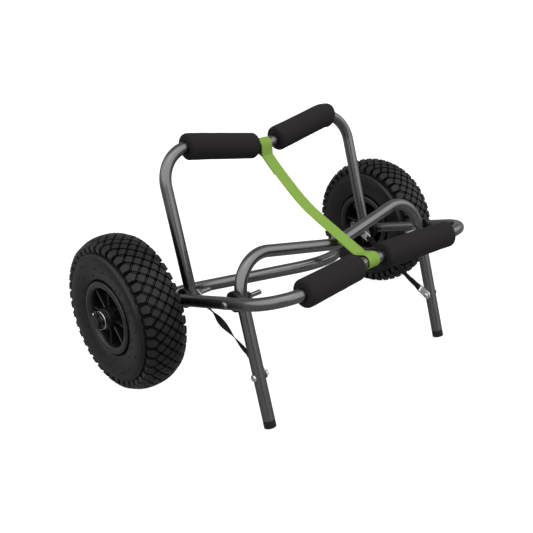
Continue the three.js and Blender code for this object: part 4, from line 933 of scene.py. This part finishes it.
def tab_plate(name, hole_radius, move):
    """Stamped plate: a round eye, straight sides and a slot at its far end."""
    half, slot_half, slot_start = TAB_W / 2, LIMIT_W / 2 + GAP, SLOT_END - TAB_SLOT
    turns = [math.pi / 2 + math.pi * k / 24 for k in range(25)]
    outer = [(half * math.cos(a), half * math.sin(a)) for a in turns]
    for side, first in ((-1, math.pi * 1.5), (1, 0.0)):
        for k in range(5):
            a = first + math.pi / 2 * k / 4
            outer.append((TAB_REACH - TAB_EASE + TAB_EASE * math.cos(a),
                          side * (half - TAB_EASE) + TAB_EASE * math.sin(a)))
    hole = [(hole_radius * c, -hole_radius * s) for c, s in circle(24)]
    slot = [(SLOT_END, -slot_half), (slot_start, -slot_half), (slot_start, slot_half), (SLOT_END, slot_half)]
    flat = bmesh.new()
    edges = []
    for loop in (outer, hole, slot):
        points = [flat.verts.new((-TAB_T / 2, y, z)) for y, z in loop]
        edges += [flat.edges.new((p, points[(i + 1) % len(points)])) for i, p in enumerate(points)]
    bmesh.ops.triangle_fill(flat, use_beauty=True, edges=edges)
    bmesh.ops.dissolve_limit(flat, angle_limit=math.radians(1), verts=flat.verts, edges=flat.edges)
    grown = bmesh.ops.extrude_face_region(flat, geom=flat.faces[:])
    lifted = [v for v in grown["geom"] if isinstance(v, bmesh.types.BMVert)]
    bmesh.ops.translate(flat, verts=lifted, vec=(TAB_T, 0, 0))
    bmesh.ops.recalc_face_normals(flat, faces=flat.faces)
    rims = [e for e in flat.edges if e.is_manifold and e.calc_face_angle() > math.radians(60)
            and abs(e.verts[0].co.x - e.verts[1].co.x) < 1e-6]
    bmesh.ops.bevel(flat, geom=rims, offset=TAB_EDGE, segments=2, affect="EDGES", profile=0.5)
    tab = built_object(name, flat, move)
    soften(tab.data)
    return tab


def limit_route(length, start, end, sway):
    """Stations of a strip that is sewn back through the tab slot at both ends."""
    near = SLOT_END - GAP - LIMIT_T / 2
    room = TAB_T / 2 + GAP + LIMIT_T / 2
    layer = LIMIT_T * LIMIT_LAYER
    meet, past = TAB_REACH + LIMIT_SPREAD, TAB_REACH + 0.0010
    sewn = [(meet + LIMIT_SEWN * k / 4, layer) for k in range(4, -1, -1)]
    end_loop = sewn + [(past, room)]
    for k in range(11):
        a = math.pi * k / 10 - math.pi / 2
        end_loop.append((max(near + room - room * math.cos(a), near), -room * math.sin(a)))
    end_loop += [(past, -room)] + [(y, -x) for y, x in reversed(sewn)]
    first, last = meet + LIMIT_SEWN, length - meet - LIMIT_SEWN
    route = [(y, x, start * max(0, (y - meet) / LIMIT_SEWN)) for y, x in end_loop]
    for k in range(1, LIMIT_STEPS):
        share = k / LIMIT_STEPS
        joins = 1 - min(1, share * LIMIT_JOIN) + max(0, share * LIMIT_JOIN - LIMIT_JOIN + 1)
        turn = start + (end - start) * math.sin(math.pi / 2 * share) + sway * math.sin(math.pi * share)
        route.append((first + (last - first) * share, -layer * joins, turn))
    return route + [(length - y, x, end) for y, x in reversed(end_loop)]


black_webbing = woven("black webbing", (0.0100, 0.0088, 0.0090), 0.8, 0.0011, 0.6, Specular_IOR_Level=0.25)
stamped = grained("stamped plated steel", (0.80, 0.78, 0.765), 1300, 0.15, 0.42, 0.08, 0.08, Metallic=1.0)
for side, sign in SIDES:
    for level, spot, angle, body, hole_r in (("upper", LIMIT_FROM, LIMIT_ANGLE, "chassis", 0.0044),
                                             ("lower", LIMIT_TO, LIMIT_ANGLE + math.pi, "stand", 0.0034)):
        place = DECK @ Matrix.Translation(spot) @ Matrix.Rotation(angle, 4, "X") \
            @ Matrix.Translation((sign * TAB_X, 0, 0))
        tab = tab_plate(f"limit_tab_plate_{level}_{side}", hole_r, place)
        finish_piece(tab, stamped, body, "bright_steel", f"limit_tab_{level}_{side}")
    length = (LIMIT_TO - LIMIT_FROM).length
    route = limit_route(length, *LIMIT_HANG[side])
    centres = [Vector((sign * TAB_X + x * math.cos(turn), y, -x * math.sin(turn))) for y, x, turn in route]
    stations = []
    for centre, (y, x, turn), (heading, so_far) in zip(centres, route, run_along(centres)):
        wide = Vector((math.sin(turn), 0, math.cos(turn)))
        stations.append((centre, wide, wide.cross(heading).normalized(), so_far))
    strip_place = DECK @ Matrix.Translation(LIMIT_FROM) @ Matrix.Rotation(LIMIT_ANGLE, 4, "X")
    strip = strip_object(f"limit_strip_{side}", stations, LIMIT_W, LIMIT_T, strip_place)
    finish_piece(strip, black_webbing, None, "webbing_black", f"limit_strap_{side}")
    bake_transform(strip)

# Foam sleeves. Black closed-cell rubber foam, moulded as split-free sleeves with
# rounded ends and pushed over the cradle bars, so they follow the dipped bars.
PAD_R, PAD_LENGTH, PAD_ROUND, PAD_STEPS, PAD_FACETS = 0.0225, 0.144, 0.0055, 40, 48
FRONT_GAP, FRONT_SHIFT, REAR_GAP, REAR_SHIFT = 0.069, -0.0055, 0.0525, 0.0062
FOAM_WAVES, FOAM_UNEVEN, FOAM_SINK = 38, 0.00035, 0.0002
foam = grained("closed cell foam", (0.0135, 0.0114, 0.0121), 1500, 0.35, 0.85, 0.12, 0.45,
               Specular_IOR_Level=0.2)


def path_length(path):
    return sum((b[0] - a[0]).length for a, b in zip(path, path[1:]))


def walk_path(path, distance):
    """Place and heading at a distance along a path."""
    for (p, t), (q, u) in zip(path, path[1:]):
        span = (q - p).length
        if distance <= span or q is path[-1][0]:
            share = distance / span if span else 0
            return p.lerp(q, share), t.lerp(u, share).normalized()
        distance -= span
    return path[-1]


def foam_sleeve(name, path, flat, start, sign, move):
    """Sleeve on one side of a bar's middle, its skin slightly uneven."""
    middle = path_length(path) / 2
    turns = [math.pi / 2 * k / 8 for k in range(9)]
    ends = [(PAD_ROUND * (1 - math.cos(a)), PAD_R - PAD_ROUND * (1 - math.sin(a))) for a in turns]
    run = [(PAD_ROUND + (PAD_LENGTH - 2 * PAD_ROUND) * k / PAD_STEPS, PAD_R) for k in range(1, PAD_STEPS)]
    skin = ends + run + [(PAD_LENGTH - d, r) for d, r in reversed(ends)]
    bore = TUBE_R + GAP
    lining = [(PAD_LENGTH * k / PAD_STEPS, bore) for k in range(PAD_STEPS, -1, -1)]
    rings = []
    for d, radius in skin + lining:
        place, heading = walk_path(path, middle + sign * (start + d))
        ring = []
        for point in ring_at(place, heading, flat, 1.0, PAD_FACETS):
            out, reach = point - place, radius
            if radius > bore:
                reach += noise.noise((place + out * radius) * FOAM_WAVES) * FOAM_UNEVEN - FOAM_SINK
            ring.append(place + out * reach)
        rings.append(ring)
    return mesh_object(name, *ring_stack(rings, closed=True), move=move)


front_path = front_line(math.radians(2))
for side, sign in SIDES:
    for end, path, flat, start, place, body in (
            ("front", front_path, DECK_FLAT, FRONT_GAP / 2 + sign * FRONT_SHIFT, DECK, "chassis"),
            ("rear", rear_path, HOOP_FLAT, REAR_GAP / 2 + sign * REAR_SHIFT, rear_place, "rear_cradle")):
        pad = foam_sleeve(f"foam_sleeve_{end}_{side}", path, flat, start, sign, place)
        finish_piece(pad, foam, body, "foam_black", f"{end}_pad_{side}")

# Cradle strap. Green polyester webbing, 25 mm wide, passes round the middle of
# each cradle bar; its ends are turned back and sewn down with green thread.
STRAP_W, STRAP_T, STRAP_LAYER, SLACK_END = 0.025, 0.0015, 0.52, 0.180
REAR_APEX = REAR_PIVOT + Vector((0, 0, REAR_RISE - REAR_VEE))
FRONT_APEX = Vector((0, FRONT_VEE - FRONT_REACH, 0))
LOOP_R, LOOP_MEET, TAIL_END, LOOP_STEPS = TUBE_R + 0.0012 + STRAP_T / 2, 0.021, 0.060, 36
LEAVE, ARRIVE = math.radians(-22), math.radians(180 + 12)


def apex_shift(turn, radius):
    """How far a bend's crown stands off the corner, and its dip under the strap."""
    return radius * (1 / math.cos(turn / 2) - 1) + (STRAP_W / 2) ** 2 / (4 * radius)


def on_circle(radius, a):
    return Vector((math.cos(a), math.sin(a))) * radius


top = REAR_APEX + Vector((0, 0, apex_shift(2 * math.atan(REAR_VEE / LEG_X), REAR_BEND_R)))
low = FRONT_APEX - Vector((0, apex_shift(2 * math.atan(FRONT_VEE / ARM_X), FRONT_VEE_R), 0))
span = (low - top).length
along = (low - top).normalized()
normal = along.cross(Vector((1, 0, 0)))
low_middle = Vector((span, 0))
meet_top = on_circle(LOOP_MEET, LEAVE)
meet_low = low_middle + on_circle(LOOP_MEET, ARRIVE)
guide = [(0.0, 0.0), meet_top, (0.056, -0.0142), (0.084, -0.0176), (0.112, -0.0202), (0.142, -0.0210),
         (0.177, -0.0178), (0.212, -0.0130), (0.240, -0.0090), meet_low, low_middle]


def smooth_curve(points, count):
    """Curve through the inner points, the outer two only steer its ends."""
    places = [Vector(point) for point in points]
    curve = []
    for a, b, c, d in zip(places, places[1:], places[2:], places[3:]):
        for k in range(count):
            t = k / count
            curve.append(0.5 * (2 * b + (c - a) * t + (2 * a - 5 * b + 4 * c - d) * t * t
                                + (3 * b - a - 3 * c + d) * t ** 3))
    return curve + [places[-2]]


band = smooth_curve(guide, 10)


def band_frame(distance):
    """Place and direction on the band, by distance along the line between the bars."""
    for near, ahead in zip(band, band[1:]):
        if ahead.x >= distance:
            break
    share = (distance - near.x) / (ahead.x - near.x)
    return near.lerp(ahead, share), (ahead - near).normalized()


def layer(from_s, to_s, side, count):
    """Middle line of one layer of the webbing, above or below the seam."""
    points = []
    for k in range(count + 1):
        place, heading = band_frame(from_s + (to_s - from_s) * k / count)
        points.append(place + Vector((-heading.y, heading.x)) * side * STRAP_T * STRAP_LAYER)
    return points


def axes_at(x_axis, y_axis, origin):
    """Matrix that turns to two axes and moves to an origin."""
    turn = Matrix((x_axis, y_axis, x_axis.cross(y_axis))).transposed().to_4x4()
    return Matrix.Translation(origin) @ turn


lean = math.acos(LOOP_R / LOOP_MEET)
turns = [lean + (2 * math.pi - 2 * lean) * k / LOOP_STEPS for k in range(LOOP_STEPS + 1)]
green_path = layer(TAIL_END, meet_top.x, -1, 12)
green_path += [on_circle(LOOP_R, LEAVE - a) for a in turns]
green_path += layer(meet_top.x, meet_low.x, 1, 72)
green_path += [low_middle + on_circle(LOOP_R, ARRIVE - a) for a in turns]
green_path += layer(meet_low.x, span - TAIL_END, -1, 12)
stations = [(point.to_3d(), Vector((0, 0, 1)), Vector((-heading.y, heading.x, 0)), so_far)
            for point, (heading, so_far) in zip(green_path, run_along(green_path))]
strap_place = DECK @ axes_at(along, normal, top)
green_webbing = woven("green webbing", (0.208, 0.345, 0.058), 0.35, 0.0016, 0.55, Specular_IOR_Level=0.2)
strap = strip_object("green_strap", stations, STRAP_W, STRAP_T, strap_place)
finish_piece(strap, green_webbing, None, "webbing_green", "cradle_strap")

# Stitches: rows along the turned-back ends with a cross between them
thread = grained("green thread", (0.175, 0.300, 0.050), 2500, 0.3, 0.6, 0.1, 0.3)
SEW_FROM, SEW_TO, SEW_X = LOOP_MEET + 0.006, TAIL_END - 0.005, 0.009
STITCH_PITCH, STITCH_RISE = 0.0032, 1.03
STITCH_SIZE = Matrix.Diagonal((0.0013, 0.00026, 0.00036, 1))
SEAMS = [(SEW_FROM, -SEW_X, SEW_TO, -SEW_X), (SEW_FROM, SEW_X, SEW_TO, SEW_X),
         (SEW_FROM, -SEW_X, SEW_FROM, SEW_X), (SEW_TO, -SEW_X, SEW_TO, SEW_X),
         (SEW_FROM, -SEW_X, SEW_TO, SEW_X), (SEW_FROM, SEW_X, SEW_TO, -SEW_X)]
stitches = bmesh.new()
for s0, x0, s1, x1 in SEAMS:
    count = max(3, round(math.hypot(s1 - s0, x1 - x0) / STITCH_PITCH))
    for k in range(count):
        t = (k + 0.5) / count
        distance, across = s0 + (s1 - s0) * t, x0 + (x1 - x0) * t
        for spot, way in ((distance, 1), (span - distance, -1)):
            place, heading = band_frame(spot)
            out = Vector((-heading.y, heading.x, 0))
            run = (heading.to_3d() * (s1 - s0) * way + Vector((0, 0, x1 - x0))).normalized()
            for face in (1, -1):
                centre = place.to_3d() + out * face * STRAP_T * STITCH_RISE + Vector((0, 0, across))
                bmesh.ops.create_icosphere(stitches, subdivisions=1, radius=1.0,
                                           matrix=axes_at(run, out, centre) @ STITCH_SIZE)
stitch_object = built_object("strap_stitches", stitches, strap_place)
finish_piece(stitch_object, thread, None, "webbing_green")
for piece in (strap, stitch_object):
    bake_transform(piece)

# Studio. A white sweep of paper under a soft round lamp and a sky of light that
# dims low down and beyond the cart, with a dark patch behind the camera. The
# camera is the one that was fitted to the photograph's two wheels.
FLOOR_HALF, FLOOR_GLOW = 12, 0.93
SKY_LOW, SKY_FLAG, SKY_HIGH, FLAG_DIP = 0.38, 0.04, 1.60, -0.16
floor_mesh = bpy.data.meshes.new("studio_floor")
corners = [(x * FLOOR_HALF, y * FLOOR_HALF, 0) for x, y in ((-1, -1), (1, -1), (1, 1), (-1, 1))]
floor_mesh.from_pydata(corners, [], [(0, 1, 2, 3)])
floor = link_object("studio_floor", floor_mesh)
paper = bpy.data.materials.new("white paper")
paper.use_nodes = True
paper_tree = paper.node_tree
paper_body = paper_tree.nodes["Principled BSDF"]
ray = add_node(paper_tree, "ShaderNodeLightPath")
seen = combine(paper_tree, "MULTIPLY", ray.outputs["Is Camera Ray"], FLOOR_GLOW)
speck = add_node(paper_tree, "ShaderNodeTexNoise", Scale=900.0)
tone = add_node(paper_tree, "ShaderNodeMapRange", {"Value": speck.outputs["Fac"]}, To_Min=0.27, To_Max=0.29)
paper_tree.links.new(tone.outputs[0], paper_body.inputs["Base Color"])
paper_tree.links.new(seen, paper_body.inputs["Emission Strength"])
paper_body.inputs["Emission Color"].default_value = (1, 1, 1, 1)
paper_body.inputs["Roughness"].default_value = 0.9
floor_mesh.materials.append(paper)

world = bpy.data.worlds.new("studio")
world.use_nodes = True
sky_tree = world.node_tree
sky = sky_tree.nodes["Background"]
direction = add_node(sky_tree, "ShaderNodeTexCoord").outputs["Generated"]
height = add_node(sky_tree, "ShaderNodeSeparateXYZ", {0: direction}).outputs["Z"]
level = add_node(sky_tree, "ShaderNodeVectorMath", {0: direction}, operation="MULTIPLY")
level.inputs[1].default_value = (1, 1, 0)
heading = add_node(sky_tree, "ShaderNodeVectorMath", {0: level.outputs[0]}, operation="NORMALIZE")


def toward(x, y):
    """Mask of how squarely the sky faces one level direction, 1 to -1."""
    node = add_node(sky_tree, "ShaderNodeVectorMath", {0: heading.outputs[0]}, operation="DOT_PRODUCT")
    node.inputs[1].default_value = (x, y, 0)
    return node.outputs["Value"]


def fade(mask, start, end):
    """Soft step of a mask between two of its values."""
    node = add_node(sky_tree, "ShaderNodeMapRange", {"Value": mask}, interpolation_type="SMOOTHSTEP",
                    From_Min=start, From_Max=end)
    return node.outputs[0]


flag = fade(toward(-0.485, -0.875), 0.958, 0.987)
above = fade(combine(sky_tree, "MULTIPLY_ADD", flag, FLAG_DIP, height), 0.09, 0.25)
near_side = fade(toward(-0.50, -0.866), -0.75, -0.25)
dim = add_node(sky_tree, "ShaderNodeMapRange", {"Value": flag}, To_Min=SKY_LOW, To_Max=SKY_FLAG)
dome = combine(sky_tree, "MULTIPLY", above, near_side)
glow = add_node(sky_tree, "ShaderNodeMapRange", {"Value": dome, "To Min": dim.outputs[0]}, To_Max=SKY_HIGH)
seen_sky = add_node(sky_tree, "ShaderNodeLightPath").outputs["Is Camera Ray"]
sky_tree.links.new(combine(sky_tree, "MAXIMUM", glow.outputs[0], seen_sky), sky.inputs["Strength"])
sky.inputs["Color"].default_value = (1, 1, 1, 1)
bpy.context.scene.world = world

lamp_data = bpy.data.lights.new("overhead", "AREA")
lamp_data.shape = "DISK"
lamp_data.size = 1.6
lamp_data.energy = 4
lamp = link_object("overhead", lamp_data)
lamp.location = (-0.3, -0.4, 2.4)
lamp.rotation_euler = (Vector((0, 0, 0.1)) - lamp.location).to_track_quat("-Z", "Y").to_euler()

YAW, PITCH, SETTLE = math.radians(42.2), math.radians(23.9), math.radians(-3.11)
EYE = Vector((-0.912, -1.0058, 0.7316))
right = Vector((math.cos(YAW), -math.sin(YAW), 0))
forward = Vector((math.sin(YAW) * math.cos(PITCH), math.cos(YAW) * math.cos(PITCH), -math.sin(PITCH)))
lens_data = bpy.data.cameras.new("photo_view")
lens_data.sensor_width = 36
lens_data.lens = 53.63
lens_data.shift_x, lens_data.shift_y = 0.0013, -0.01257
camera = link_object("photo_view", lens_data)
camera.matrix_world = Matrix.Translation((0, AXLE_Y, AXLE_Z)) @ Matrix.Rotation(SETTLE, 4, "X") \
    @ Matrix.Translation((0, 0, -AXLE_Z)) @ axes_at(right, right.cross(forward), EYE)
bpy.context.scene.camera = camera
bpy.context.scene.view_settings.view_transform = "Standard"
